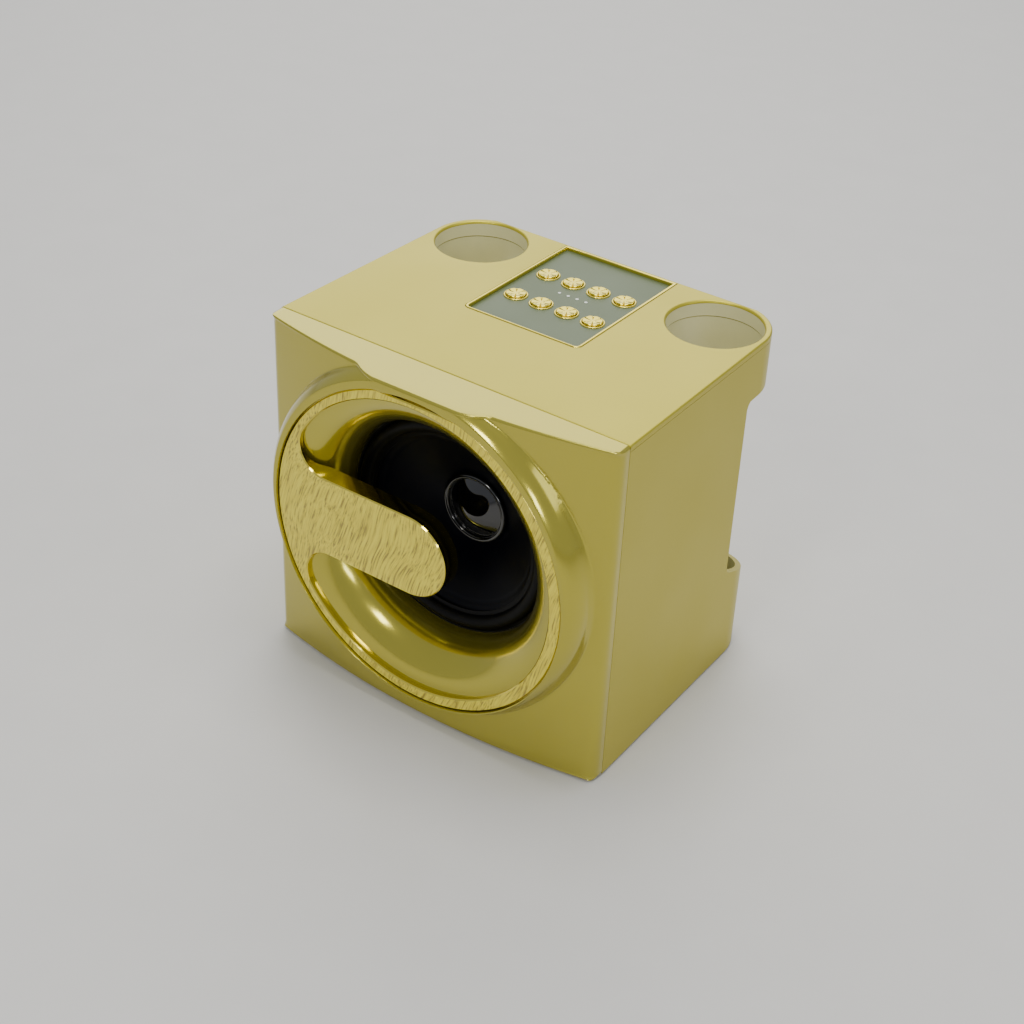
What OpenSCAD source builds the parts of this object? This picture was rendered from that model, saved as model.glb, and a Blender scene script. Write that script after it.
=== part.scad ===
// Table-top karaoke loudspeaker with two microphone wells.
// X is to the right, Y to the back, Z up; the origin is on the table, under the middle of the body.

/* [Body] */
// Width of the body at the seam, its widest place
body_w = 190; // [170:1:240]
// Depth of the body, from the front collar to the back
body_d = 162.5; // [150:0.5:210]
// Height from the table to the control panel's rim
overall_h = 178.8; // [170:0.1:230]
// Thickness of the moulded walls
wall = 3; // [2:0.1:4]
// Draft of the side walls behind the seam, in degrees
side_draft = 1; // [0:0.1:2]
// How far the feet hold the body off the table
foot_h = 1.2; // [0.8:0.1:4]
// Radius of a foot
foot_r = 7; // [5:0.5:9]
// Thickness of the top cover
cover_t = 3; // [2:0.1:4]

/* [Front] */
// Depth of the front moulding, from its collar to the seam
front_d = 23; // [20:0.5:30]
// Radius of the bowed front, seen from above
bow_r = 400; // [300:10:900]
// How far the crest of the bow lies behind the collar's face
bow_set = 4; // [2:0.5:6]
// Radius of the front's upright corners
front_corner_r = 6; // [3:0.5:9]
// How far the top slopes down from the seam to the front edge
lip_drop = 1.2; // [0:0.1:2]
// Outer radius of the collar's flat face
collar_face_r = 82.8; // [82:0.1:86]
// Rounding of the collar's flank
collar_round = 14.5; // [12:0.5:18]
// Outer radius of the collar
collar_r = 88.3; // [88:0.1:92]
// How far the collar's centre lies above the ring's
collar_rise = 2.5; // [0:0.1:3]

/* [Trim ring] */
// Height of the ring's centre above the table
ring_z = 93.8; // [92:0.1:110]
// Outer radius of the trim ring
ring_r = 80.7; // [79:0.1:81]
// Thickness of the trim ring
ring_t = 2.6; // [2:0.1:3.5]
// How far the ring's face lies behind the collar's face
ring_set = 1.25; // [0.5:0.05:2]
// Height above the ring's centre at which its top is cut flat
ring_flat = 77.7; // [77:0.1:79]
// Radius of the opening inside the ring
aperture_r = 75.3; // [72:0.1:76]
// How far the opening is set to the left of the ring's centre
aperture_shift = 1.2; // [0:0.1:2]
// Height of the tongue that reaches in from the left
tongue_h = 42; // [30:1:50]
// Distance from the ring's centre to the middle of the tongue's round tip, to the left
tongue_tip = 3; // [-8:0.5:20]
// How far the tongue's middle lies below the ring's centre
tongue_drop = 1.8; // [-4:0.1:5]
// Radius of the hollow corners at the tongue's root
root_r = 14; // [8:0.5:16]
// Depth of the tongue, front to back
tongue_d = 10; // [5:0.5:12]
// Thickness of the tongue's skin
tongue_t = 2; // [1.5:0.1:3]

/* [Horn and driver] */
// How far the horn and the driver sit above the ring's centre
horn_rise = 1.7; // [0:0.1:2]
// Radius of the horn's throat
throat_r = 55.7; // [50:0.1:58]
// Radius at which the horn's flare is furthest forward
mouth_r = 78; // [76:0.1:78.2]
// Thickness of the horn's shell
horn_t = 2.4; // [1.8:0.1:3]
// Outer radius of the driver's flange
flange_r = 66; // [65:0.5:68]
// Thickness of the foam gasket
gasket_t = 1; // [0.5:0.1:2]
// Depth of the driver, from its flange to its back plate
driver_d = 56.4; // [50:0.1:65]
// Radius of the magnet
magnet_r = 36; // [30:1:42]
// Thickness of the magnet
magnet_t = 13; // [8:0.5:16]
// Radius of the dust cap
cap_r = 17; // [15:0.5:20]
// Radius of the voice coil's former
coil_r = 13; // [12:0.1:14]
// Travel of the cone, each way
cone_travel = 3; // [1:0.5:4]

/* [Microphone wells] */
// Radius of the collar at the top of each well
well_r = 22.8; // [19:0.1:24]
// Wall between a well and the side of the body
well_wall = 3.3; // [3:0.1:5]
// Wall behind a well
well_back = 2; // [1.5:0.1:4]
// Depth of the collar, from the top of the body
collar_d = 8; // [5:0.5:12]
// Thickness of the collar
collar_t = 1.5; // [1.2:0.1:1.8]
// Height of a well's floor above the table
well_floor = 8; // [6:0.5:20]
// Thickness of the pad on a well's floor
pad_t = 2; // [1:0.5:4]
// How far ahead of a well's centre the side wall ends, where the handle shows
gap_front = 9.7; // [8:0.1:14]
// Height above the table at which the gap in the side begins
gap_low = 54.5; // [40:0.5:80]
// Height above the table at which the gap in the side ends
gap_high = 150; // [120:0.5:155]
// Slope of the gap's lower edge, down towards the back
gap_low_slope = 0.40; // [0.2:0.01:0.5]
// Slope of the gap's upper edge, up towards the back
gap_high_slope = 0.05; // [0:0.01:0.5]
// Radius of the gap's front corners
gap_r = 5; // [2:0.5:8]

/* [Control panel] */
// Width of the bezel
bezel_w = 64; // [60:0.5:68]
// Depth of the bezel, front to back
bezel_d = 84; // [80:0.5:86]
// Thickness of the bezel's rim
bezel_rim = 1.4; // [1:0.1:2.5]
// Radius of the bezel's front corners
bezel_r = 3; // [1.5:0.5:5]
// How far the bezel's rim stands above the top
bezel_proud = 0.3; // [0.1:0.1:0.6]
// How far the plate lies below the rim
plate_set = 1.8; // [1:0.1:2]
// Thickness of the plate
plate_t = 1.2; // [1:0.1:1.6]
// Spacing of the buttons along a row
button_pitch = 14.4; // [13:0.1:15]
// Distance from the bezel's back edge to the back row of buttons
row_back = 30.2; // [25:0.1:34]
// Distance between the two rows of buttons
row_pitch = 26.5; // [20:0.1:30]
// Radius of a button's cap
button_r = 4.7; // [4:0.1:5]
// Height of a button's cap above the plate
button_h = 1.4; // [0.8:0.1:1.8]
// Travel of a button
button_travel = 0.5; // [0.3:0.1:0.6]
// Width of the bright ring around each button
button_ring = 0.85; // [0.5:0.05:1.2]
// Spacing of the four lamps
led_pitch = 5; // [4:0.1:8]
// Radius of a lamp's lens
led_r = 0.8; // [0.6:0.1:1.2]

/* [Back panel] */
// Width of the socket panel
panel_w = 88; // [84:1:92]
// Height of the socket panel
panel_h = 28; // [26:1:34]
// Thickness of the socket panel
panel_t = 1.4; // [1:0.1:1.6]
// How far the socket panel lies in from the back
panel_set = 1.4; // [1.2:0.1:2]
// Height of the panel's middle above the table
panel_z = 30; // [28:0.5:34]
// Travel of the power switch
switch_travel = 4; // [2:0.5:5]
// Radius of the audio socket's bore
aux_r = 1.8; // [1.75:0.05:1.9]
// Depth of the audio socket's bore
aux_d = 14; // [12:0.5:15]
// Radius of the battery cell
cell_r = 9.2; // [7:0.1:9.3]
// Length of the battery cell
cell_l = 65; // [50:0.5:66]

/* [Fits] */
// Gap between pieces that move past each other
gap_moving = 0.3; // [0.2:0.05:0.5]
// Gap all round a piece that drops into a recess
gap_fit = 0.2; // [0.1:0.05:0.4]

/* [Hidden] */
$fn = 64;

// Frame of the body
y_front = -body_d / 2;
y_back = body_d / 2;
seam_y = y_front + front_d;
top_z = overall_h - bezel_proud;
cover_z = top_z - cover_t;
floor_z = foot_h + wall;
eps = 0.01;
far = 400;

// Front bow and its corners
bow_y = y_front + bow_set + bow_r;
corner_x = body_w / 2 - front_corner_r;
corner_y = bow_y - sqrt(pow(bow_r - front_corner_r, 2) - pow(corner_x, 2));
bow_half = bow_r * corner_x / (bow_r - front_corner_r);

// Distances forward of the origin, used by everything turned about the driver's axis
face_f = -y_front;
ring_f = face_f - ring_set;
mouth_f = ring_f - ring_t;
flare_r = mouth_r - throat_r;
throat_f = mouth_f - flare_r;
seat_f = throat_f - wall;
flange_t = 2;
flange_f = seat_f - gasket_t;
basket_f = flange_f - flange_t;
horn_z = ring_z + horn_rise;
collar_fit = 0.4;
ring_seat_r = ring_r + 0.5;

// Driver stack, measured forward from its back plate
back_plate_t = 4;
top_plate_t = 5;
back_f = flange_f - driver_d;
magnet_f = back_f + back_plate_t;
top_plate_f = magnet_f + magnet_t;
basket_back_f = top_plate_f + top_plate_t;
basket_t = 2;
terminal_t = 2;
screw_circle = flange_r - 3;
roll_r = 3.5;
surround_foot = 1.7;
surround_t = 0.5;
cone_t = 0.8;
cone_edge_r = throat_r - surround_foot - 2 * roll_r;
cone_rise = 0.6;
cone_edge_f = flange_f - 0.6;
neck_f = cone_edge_f - (cone_edge_r - coil_r) * cone_rise;
spider_r = 30;
spider_f = basket_back_f + 7;
pole_r = coil_r - 1.0;
plate_hole_r = coil_r + 1.1;

// Wells
corner_r = well_r + well_wall;
well_y = y_back - well_r - well_back;
bore_r = well_r + 0.3;
tube_r = bore_r + 2.5;
housing_r = tube_r + 0.2;
well_x = half_width(well_y) - corner_r;
gap_y = well_y - gap_front;
collar_z = top_z - collar_d;

// Control panel
bezel_back = y_back - 1.5;
bezel_front = bezel_back - bezel_d;
bezel_mid = (bezel_front + bezel_back) / 2;
plate_z = overall_h - plate_set;
ledge_z = plate_z - plate_t;
bezel_z = ledge_z - 1.2;
ledge_w = 3;
rail_z = bezel_z - 2;
board_t = 1.6;
button_hole_r = button_r + gap_moving;
flange_top_z = ledge_z - gap_moving;
key_flange_t = 1.1;
stem_r = 1.6;
stem_l = 1.4;
stem_z = flange_top_z - key_flange_t - stem_l;
plunger_z = stem_z - button_travel - 0.1;
plunger_h = 0.8;
key_switch_h = 3.6;
board_z = plunger_z - plunger_h - key_switch_h;
rows = [bezel_back - row_back, bezel_back - row_back - row_pitch];
led_y = (rows[0] + rows[1]) / 2 + 1.5;

// Back panel
panel_y = y_back - panel_set - panel_t;
panel_back_t = 2.2;
panel_screw_x = panel_w / 2 - 3.5;
panel_screw_z = panel_h / 2 - 3.5;
main_board_top = panel_z - 4;
main_board_half = 38;
main_board_front = y_back - 51;
main_board_back = panel_y - panel_back_t - 0.5;
post_x = 34;
post_y = [main_board_front + 4, main_board_front + 26];
switch_x = -28;
usb_c_x = -10;
usb_a_x = 8;
aux_x = 28;
lamp_x = 18.5;
battery_y = y_back - 74;
battery_z = floor_z + 1.5 + cell_r + 0.2;
holder_h = 13;
link_y = y_back - 32;
lead_x = 0;

function half_width(y) = body_w / 2 - max(0, y - seam_y) * tan(side_draft);

// Turned parts are drawn with their axis along Z and their front up; this lays them to face forward.
module facing(z) {
  translate([0, 0, z]) rotate([90, 0, 0]) children();
}

// A shape drawn in the (Y, Z) plane, drawn out along X.
module across(width, x = 0) {
  translate([x, 0, 0]) rotate([90, 0, 90]) linear_extrude(width, center = true) children();
}

module both_sides() {
  for (side = [0, 1]) mirror([side, 0, 0]) children();
}

module ring(outer, inner, height) {
  difference() {
    cylinder(r = outer, h = height);
    translate([0, 0, -eps]) cylinder(r = inner, h = height + 2 * eps);
  }
}

// The screw's head is at the origin and its shank points down.
module screw(shank_r, length, head_r, head_h) {
  difference() {
    union() {
      cylinder(r = head_r, h = head_h);
      translate([0, 0, -length]) cylinder(r = shank_r, h = length + eps);
    }
    for (turn = [0, 90]) rotate([0, 0, turn])
      translate([-head_r * 0.6, -0.35, head_h - 0.7]) cube([head_r * 1.2, 0.7, 1]);
  }
}

// ---- Plans of the body ----

module front_plan(inset) {
  half = body_w / 2 - inset;
  reach = bow_half * (bow_r - inset) / bow_r;
  intersection() {
    translate([0, bow_y]) circle(r = bow_r - inset, $fn = 256);
    translate([-reach, y_front - 1]) square([2 * reach, front_d + 1]);
  }
  intersection() {
    for (side = [-1, 1]) translate([side * corner_x, corner_y]) circle(r = front_corner_r - inset);
    translate([-half, y_front]) square([2 * half, corner_y + 1 - y_front]);
  }
  translate([-half, corner_y]) square([2 * half, seam_y - corner_y]);
}

module rear_plan() {
  intersection() {
    union() {
      polygon([[-half_width(seam_y), seam_y], [half_width(seam_y), seam_y],
               [half_width(well_y), well_y], [well_x, y_back],
               [-well_x, y_back], [-half_width(well_y), well_y]]);
      for (side = [-1, 1]) translate([side * well_x, well_y]) circle(r = corner_r);
    }
    translate([-far / 2, seam_y]) square([far, y_back - seam_y]);
  }
}

module cavity_plan() {
  difference() {
    polygon([[-half_width(seam_y) + wall, seam_y - 1], [half_width(seam_y) - wall, seam_y - 1],
             [half_width(y_back) - wall, y_back - wall], [-half_width(y_back) + wall, y_back - wall]]);
    for (side = [0, 1]) mirror([side, 0]) {
      translate([well_x, well_y]) circle(r = tube_r);
      translate([well_x, well_y]) square([far, far]);
      translate([well_x + 15, gap_y - wall]) square([far, far]);
    }
  }
}

// Side view of the gap that leaves a microphone's handle in the open
module gap_profile() {
  back = y_back + 10;
  low = gap_low - gap_low_slope * (back - gap_y);
  high = gap_high + gap_high_slope * (back - gap_y);
  polygon(concat(
    [[back, low], [back, high]],
    [for (turn = [120 : 15 : 180])
      [gap_y + gap_r + gap_r * cos(turn), gap_high - gap_r * 0.8 + gap_r * sin(turn)]],
    [for (turn = [180 : 15 : 248])
      [gap_y + gap_r + gap_r * cos(turn), gap_low + gap_r * 0.8 + gap_r * sin(turn)]]));
}

// The gap is open to the side; the inner half of each well runs on behind it.
module handle_gap() {
  across(far / 2, well_x + far / 4) gap_profile();
}

// Plan of the rear corner that a well takes up: flat sides all round its tube
module housing_plan() {
  turn = housing_r * tan(22.5);
  polygon([[-housing_r, turn], [-housing_r, -turn], [-turn, -housing_r], [far, -housing_r],
           [far, far], [far - housing_r, far + turn]]);
}

module housing_places() {
  both_sides() translate([well_x, well_y, -1]) linear_extrude(far) housing_plan();
}

// ---- Casing ----

module cabinet() {
  color("darkkhaki") difference() {
    casing();
    housing_places();
  }
}

module well_housings() {
  color("khaki") intersection() {
    casing();
    housing_places();
  }
}

// Sides, back and floor with the tubes of both wells
module casing() {
  difference() {
    union() {
      difference() {
        translate([0, 0, foot_h]) linear_extrude(cover_z - foot_h) rear_plan();
        translate([0, 0, floor_z]) linear_extrude(far) cavity_plan();
      }
      board_posts();
      translate([-panel_w / 2 - 2, panel_y - panel_back_t, panel_z - panel_h / 2 - 2])
        cube([panel_w + 4, panel_back_t + panel_t, panel_h + 4]);
      both_sides() for (side = [-1, 1])
        translate([panel_screw_x, panel_y, panel_z + side * panel_screw_z])
          rotate([90, 0, 0]) cylinder(r = 3, h = 7);
    }
    both_sides() {
      translate([well_x, well_y, well_floor]) cylinder(r = bore_r, h = far);
      translate([well_x, well_y, collar_z - gap_fit])
        cylinder(r = well_r + collar_t + gap_fit, h = far);
      handle_gap();
      foot_pockets();
      translate([40, seam_y + 6, 0]) {
        cylinder(r = 1.7, h = floor_z + 1);
        cylinder(r = 3, h = foot_h + 1.8);
      }
      for (side = [-1, 1])
        translate([panel_screw_x, y_back, panel_z + side * panel_screw_z])
          rotate([90, 0, 0]) cylinder(r = 1.3, h = panel_set + 7.6);
    }
    translate([-panel_w / 2 - gap_fit, panel_y, panel_z - panel_h / 2 - gap_fit])
      cube([panel_w + 2 * gap_fit, far, panel_h + 2 * gap_fit]);
    translate([-panel_w / 2 + 7, panel_y - panel_back_t - 1, panel_z - panel_h / 2 + 3])
      cube([panel_w - 14, far, panel_h - 6]);
    translate([-bezel_w / 2 - 4.4, bezel_back - 10, rail_z - gap_fit])
      cube([bezel_w + 8.8, 10 + gap_fit, far]);
  }
}

module board_posts() {
  both_sides() for (y = post_y) translate([post_x, y, floor_z - eps])
    ring(3, 1.3, main_board_top - board_t - floor_z + eps);
}

module foot_places() {
  for (place = [[body_w / 2 - 17, seam_y + 16], [well_x - 6, well_y + 3]])
    translate([place[0], place[1], 0]) children();
}

module foot_pockets() {
  foot_places() cylinder(r = foot_r + gap_fit, h = foot_h + 1.5);
}

module feet() {
  color("dimgray") both_sides() foot_places() {
    cylinder(r1 = foot_r - 0.6, r2 = foot_r, h = 0.6);
    translate([0, 0, 0.6]) cylinder(r = foot_r, h = foot_h + 0.9);
  }
}

module well_pads() {
  color("black") both_sides()
    translate([well_x, well_y, well_floor]) cylinder(r = bore_r - gap_fit, h = pad_t);
}

module top_cover() {
  rail_x = bezel_w / 2 - ledge_w;
  color("khaki") {
    difference() {
      translate([0, 0, cover_z]) linear_extrude(cover_t) rear_plan();
      both_sides() translate([well_x, well_y, 0]) cylinder(r = well_r, h = far);
      translate([0, 0, cover_z - eps]) linear_extrude(far) bezel_outline(-gap_fit);
    }
    both_sides() {
      translate([well_x, well_y, collar_z]) ring(well_r + collar_t, well_r, collar_d - cover_t);
      difference() {
        translate([rail_x, bezel_front - 1, rail_z])
          cube([ledge_w + 4, bezel_d - 1, cover_z - rail_z]);
        translate([rail_x - eps, bezel_front - 2, bezel_z])
          cube([ledge_w + gap_fit, bezel_d + 4, far]);
      }
      for (y = [bezel_front + 5, bezel_back - 9])
        translate([bezel_w / 2, y, board_z]) ring(2.5, 1.1, rail_z - board_z);
    }
  }
}

module front_baffle() {
  front_top = top_z - lip_drop;
  color("goldenrod") difference() {
    union() {
      difference() {
        baffle_block(0);
        translate([0, 0, floor_z]) linear_extrude(front_top - wall - floor_z)
          union() {
            front_plan(wall);
            translate([-body_w / 2 + wall, seam_y - 1]) square([body_w - 2 * wall, 5]);
          }
      }
      intersection() {
        facing(ring_z + collar_rise) rotate_extrude($fn = 128) collar_profile();
        across(body_w) polygon([[seam_y, foot_h], [seam_y, top_z], [y_front, front_top],
                                [y_front, foot_h]]);
      }
      both_sides() {
        translate([33, seam_y - 8, floor_z]) cube([14, 20, 7]);
        translate([40, seam_y - 8, cover_z - 6]) cube([20, 16, 6 - gap_fit]);
      }
    }
    facing(horn_z) translate([0, 0, throat_f]) cylinder(r = mouth_r + collar_fit, h = far);
    facing(ring_z) intersection() {
      translate([0, 0, mouth_f]) cylinder(r = ring_seat_r, h = far);
      translate([-far / 2, -far + ring_flat + 0.4, 0]) cube([far, far, far]);
    }
    both_sides() translate([40, seam_y + 6, 0]) cylinder(r = 1.3, h = floor_z + 6);
  }
}

module baffle_block(inset) {
  intersection() {
    translate([0, 0, foot_h]) linear_extrude(top_z - foot_h) front_plan(inset);
    across(body_w) polygon([[seam_y, foot_h], [seam_y, top_z], [y_front - 1, top_z - lip_drop],
                            [y_front - 1, foot_h]]);
  }
}

// Section of the collar: radius across, distance forward up
module collar_profile() {
  round_r = collar_r - collar_round;
  round_f = face_f - sqrt(pow(collar_round, 2) - pow(collar_face_r - round_r, 2));
  intersection() {
    difference() {
      union() {
        translate([round_r, round_f]) circle(r = collar_round);
        translate([round_r, seat_f + 4]) square([collar_r - round_r, round_f - seat_f - 4]);
      }
      translate([0, mouth_f - 13]) square([collar_r - wall, 10]);
    }
    translate([mouth_r - 3, seat_f + 4]) square([30, face_f - seat_f - 4]);
  }
  translate([mouth_r - 1, mouth_f - 14]) square([4.4, 14]);
}

module baffle_screws() {
  color("silver") both_sides()
    translate([40, seam_y + 6, foot_h + 1.8]) mirror([0, 0, 1]) screw(1.25, 7, 2.7, 1.5);
}

// ---- Trim ring ----

module window_root(lift) {
  reach = aperture_r - root_r;
  root_y = lift + root_r;
  root_x = -aperture_shift - sqrt(pow(reach, 2) - pow(root_y, 2));
  away = 1.4;
  difference() {
    polygon([[root_x, root_y], [root_x, lift - eps], [-far, lift - eps],
             [-far, root_y * away], [-aperture_shift + (root_x + aperture_shift) * away, root_y * away]]);
    translate([root_x, root_y]) circle(r = root_r);
  }
}

module tongue_outline(inset) {
  half = tongue_h / 2 - inset;
  translate([-tongue_tip, -tongue_drop]) circle(r = half);
  translate([-ring_r - 10, -tongue_drop - half]) square([ring_r + 10 - tongue_tip, 2 * half]);
}

module ring_outline() {
  intersection() {
    union() {
      difference() {
        circle(r = ring_r, $fn = 128);
        translate([-aperture_shift, 0]) circle(r = aperture_r, $fn = 128);
      }
      intersection() {
        translate([-aperture_shift, 0]) circle(r = aperture_r + 1, $fn = 128);
        union() {
          tongue_outline(0);
          window_root(tongue_h / 2 - tongue_drop);
          mirror([0, 1]) window_root(tongue_h / 2 + tongue_drop);
        }
      }
    }
    translate([-far / 2, -far + ring_flat]) square([far, far]);
  }
}

module trim_ring() {
  color("gold") facing(ring_z) {
    translate([0, 0, mouth_f]) linear_extrude(ring_t) ring_outline();
    difference() {
      translate([0, 0, ring_f - tongue_d]) linear_extrude(tongue_d - ring_t + eps)
        difference() {
          tongue_outline(0);
          tongue_outline(tongue_t);
        }
      translate([-far - throat_r + 4, -far / 2, 0]) cube([far, far, far]);
    }
  }
}

// ---- Horn ----

module horn() {
  color("darkgoldenrod") facing(horn_z) difference() {
    union() {
      rotate_extrude($fn = 128) {
        intersection() {
          difference() {
            translate([mouth_r, throat_f]) circle(r = flare_r, $fn = 96);
            translate([mouth_r, throat_f]) circle(r = flare_r - horn_t, $fn = 96);
          }
          translate([throat_r - 1, throat_f]) square([mouth_r - throat_r + 1, flare_r + 1]);
        }
        translate([throat_r, seat_f]) square([flange_r - throat_r, wall]);
        translate([mouth_r - horn_t, mouth_f - 10]) square([horn_t, 10 - 0.05]);
      }
      for (turn = [45 : 90 : 315]) rotate([0, 0, turn])
        translate([screw_circle, 0, seat_f]) cylinder(r = 3, h = wall + 6);
    }
    for (turn = [45 : 90 : 315]) rotate([0, 0, turn])
      translate([screw_circle, 0, seat_f - eps]) cylinder(r = 1.3, h = wall + 4);
  }
}

// ---- Driver ----

module driver_gasket() {
  color("black") facing(horn_z) translate([0, 0, flange_f])
    ring(screw_circle - 3, throat_r + 0.2, gasket_t);
}

module driver_basket() {
  floor_f = basket_back_f + basket_t;
  color("dimgray") facing(horn_z) difference() {
    rotate_extrude($fn = 128)
      polygon([[plate_hole_r + 3, basket_back_f], [spider_r + 6, basket_back_f],
               [spider_r + 6, floor_f], [throat_r + 1.5, basket_f], [flange_r, basket_f],
               [flange_r, flange_f], [throat_r - surround_foot, flange_f],
               [throat_r - surround_foot, basket_f], [throat_r - 0.5, basket_f],
               [spider_r + 4, floor_f], [spider_r + 2, floor_f], [spider_r + 2, spider_f],
               [spider_r - 1, spider_f], [spider_r - 1, floor_f], [plate_hole_r + 3, floor_f]]);
    for (turn = [45 : 90 : 315]) rotate([0, 0, turn]) {
      translate([screw_circle, 0, basket_f - eps]) cylinder(r = 1.7, h = flange_t + 1);
      translate([spider_r + 3, -15, spider_f + 1]) cube([20, 30, basket_f - spider_f - 5]);
    }
  }
}

module driver_surround() {
  mid = cone_edge_r + roll_r;
  color("black") facing(horn_z) rotate_extrude($fn = 96) {
    intersection() {
      difference() {
        translate([mid, flange_f + surround_t]) circle(r = roll_r);
        translate([mid, flange_f + surround_t]) circle(r = roll_r - surround_t);
      }
      translate([0, flange_f + surround_t]) square([far, roll_r + 1]);
    }
    translate([mid + roll_r - surround_t, flange_f]) square([surround_foot, surround_t + eps]);
    translate([mid - roll_r - 2, flange_f]) square([2 + surround_t, surround_t + eps]);
  }
}

module driver_cone() {
  color("midnightblue") facing(horn_z) rotate_extrude($fn = 96)
    polygon([[cone_edge_r, cone_edge_f], [cone_edge_r - cone_t, cone_edge_f],
             [coil_r + 0.5, neck_f], [coil_r + 0.5, neck_f - cone_t],
             [coil_r + 1.2, neck_f - cone_t], [cone_edge_r, cone_edge_f - 1.2 * cone_t]]);
}

module dust_cap() {
  rise = 6;
  sphere_r = (cap_r * cap_r + rise * rise) / (2 * rise);
  cap_f = neck_f + (cap_r - coil_r) * cone_rise + 0.9;
  color("black") facing(horn_z) translate([0, 0, cap_f]) {
    intersection() {
      difference() {
        translate([0, 0, rise - sphere_r]) sphere(r = sphere_r);
        translate([0, 0, rise - sphere_r]) sphere(r = sphere_r - cone_t);
      }
      cylinder(r = cap_r, h = 2 * rise);
    }
    translate([0, 0, -0.5]) ring(cap_r + 0.8, cap_r - 1.2, 1.1);
  }
}

module voice_coil() {
  color("peru") facing(horn_z) {
    translate([0, 0, magnet_f + 9]) ring(coil_r, coil_r - 0.4, neck_f - magnet_f - 9);
    translate([0, 0, top_plate_f - 3]) ring(coil_r + 0.45, coil_r - eps, top_plate_t + 5);
  }
}

module spider() {
  waves = 4;
  inner = coil_r + 0.8;
  pitch = (spider_r - 1 - inner) / waves;
  color("orange") facing(horn_z) translate([0, 0, spider_f]) rotate_extrude($fn = 96) {
    for (i = [0 : waves - 1])
      polygon([for (p = [[0, 0], [0.5, 1.4], [1, 0], [1, 0.5], [0.5, 1.9], [0, 0.5]])
        [inner + (i + p[0]) * pitch, p[1]]]);
    translate([spider_r - 1 - eps, 0]) square([3, 0.5]);
  }
}

module magnet_top_plate() {
  color("silver") facing(horn_z) translate([0, 0, top_plate_f])
    ring(magnet_r - 3, plate_hole_r, top_plate_t);
}

module magnet() {
  color("darkslategray") facing(horn_z) translate([0, 0, magnet_f])
    ring(magnet_r, plate_hole_r + 4, magnet_t);
}

module magnet_back_plate() {
  color("silver") facing(horn_z) translate([0, 0, back_f]) {
    cylinder(r = magnet_r - 1, h = back_plate_t);
    translate([0, 0, back_plate_t - eps]) cylinder(r = pole_r, h = magnet_t + top_plate_t);
  }
}

module driver_terminal() {
  color("saddlebrown") facing(horn_z) translate([lead_x, -flange_r, basket_f - terminal_t])
    difference() {
      translate([-6, 1, 0]) cube([12, 6.5, terminal_t]);
      for (x = [-4, 4]) translate([x, 4, -1]) cylinder(r = 0.8, h = terminal_t + 2);
    }
}

module driver_screws() {
  color("silver") facing(horn_z) for (turn = [45 : 90 : 315]) rotate([0, 0, turn])
    translate([screw_circle, 0, basket_f]) mirror([0, 0, 1]) screw(1.25, 8, 2.6, 1.5);
}

// ---- Control panel ----

module bezel_outline(inset) {
  r = bezel_r;
  half = bezel_w / 2 - inset;
  y0 = bezel_front + inset;
  for (side = [-1, 1]) translate([side * (bezel_w / 2 - r), bezel_front + r]) circle(r = r - inset);
  translate([-half, bezel_front + r]) square([2 * half, bezel_d - r - inset]);
  translate([-bezel_w / 2 + r, y0]) square([bezel_w - 2 * r, r + 1]);
}

module control_bezel() {
  color("gold") difference() {
    translate([0, 0, bezel_z]) linear_extrude(overall_h - bezel_z) bezel_outline(0);
    translate([0, 0, ledge_z]) linear_extrude(far) bezel_outline(bezel_rim);
    translate([-bezel_w / 2 + ledge_w, bezel_front + ledge_w, 0])
      cube([bezel_w - 2 * ledge_w, bezel_d - 2 * ledge_w, far]);
  }
}

module button_places() {
  for (row = [0, 1]) for (i = [0 : 3]) translate([(i - 1.5) * button_pitch, rows[row], 0]) children();
}

module lamp_places() {
  for (i = [0 : 3]) translate([(i - 1.4) * led_pitch, led_y, 0]) children();
}

module control_plate() {
  color("darkseagreen") difference() {
    translate([0, 0, ledge_z]) linear_extrude(plate_t) bezel_outline(bezel_rim + gap_fit / 2);
    button_places() cylinder(r = button_hole_r, h = far);
    lamp_places() cylinder(r = led_r + 0.1, h = far);
  }
}

module button_rings() {
  color("gold") button_places() translate([0, 0, plate_z])
    ring(button_hole_r + button_ring, button_hole_r, 0.6);
}

module button(number) {
  row = number > 4 ? 1 : 0;
  column = (number - 1) % 4;
  color("gold") translate([(column - 1.5) * button_pitch, rows[row], 0]) {
    difference() {
      translate([0, 0, flange_top_z - eps]) cylinder(r = button_r, h = plate_z + button_h - flange_top_z);
      for (turn = [0 : 60 : 300]) rotate([0, 0, turn])
        translate([button_r - 0.9, -0.45, plate_z]) cube([2, 0.9, 5]);
    }
    translate([0, 0, flange_top_z - key_flange_t]) cylinder(r = button_r + 1, h = key_flange_t);
    translate([0, 0, stem_z]) cylinder(r = stem_r, h = stem_l + eps);
  }
}

module lamp_lenses() {
  color("white") lamp_places() translate([0, 0, ledge_z - 0.6]) cylinder(r = led_r, h = plate_t + 0.75);
}

module control_board() {
  front = bezel_front + 2;
  color("darkgreen") {
    difference() {
      translate([-bezel_w / 2 - 3, front, board_z - board_t])
        cube([bezel_w + 6, bezel_d - 7, board_t]);
      both_sides() for (y = [bezel_front + 5, bezel_back - 9])
        translate([bezel_w / 2, y, 0]) cylinder(r = 1.3, h = far);
    }
    lamp_places() translate([-0.8, -0.6, board_z - eps]) cube([1.6, 1.2, 1]);
    translate([-7, link_y - 2.5, board_z - board_t - 4]) cube([14, 5, 4 + eps]);
  }
}

module button_switches() {
  color("dimgray") button_places() translate([0, 0, board_z]) {
    translate([-3, -3, 0]) cube([6, 6, key_switch_h]);
    cylinder(r = 1.7, h = key_switch_h + plunger_h);
  }
}

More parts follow.
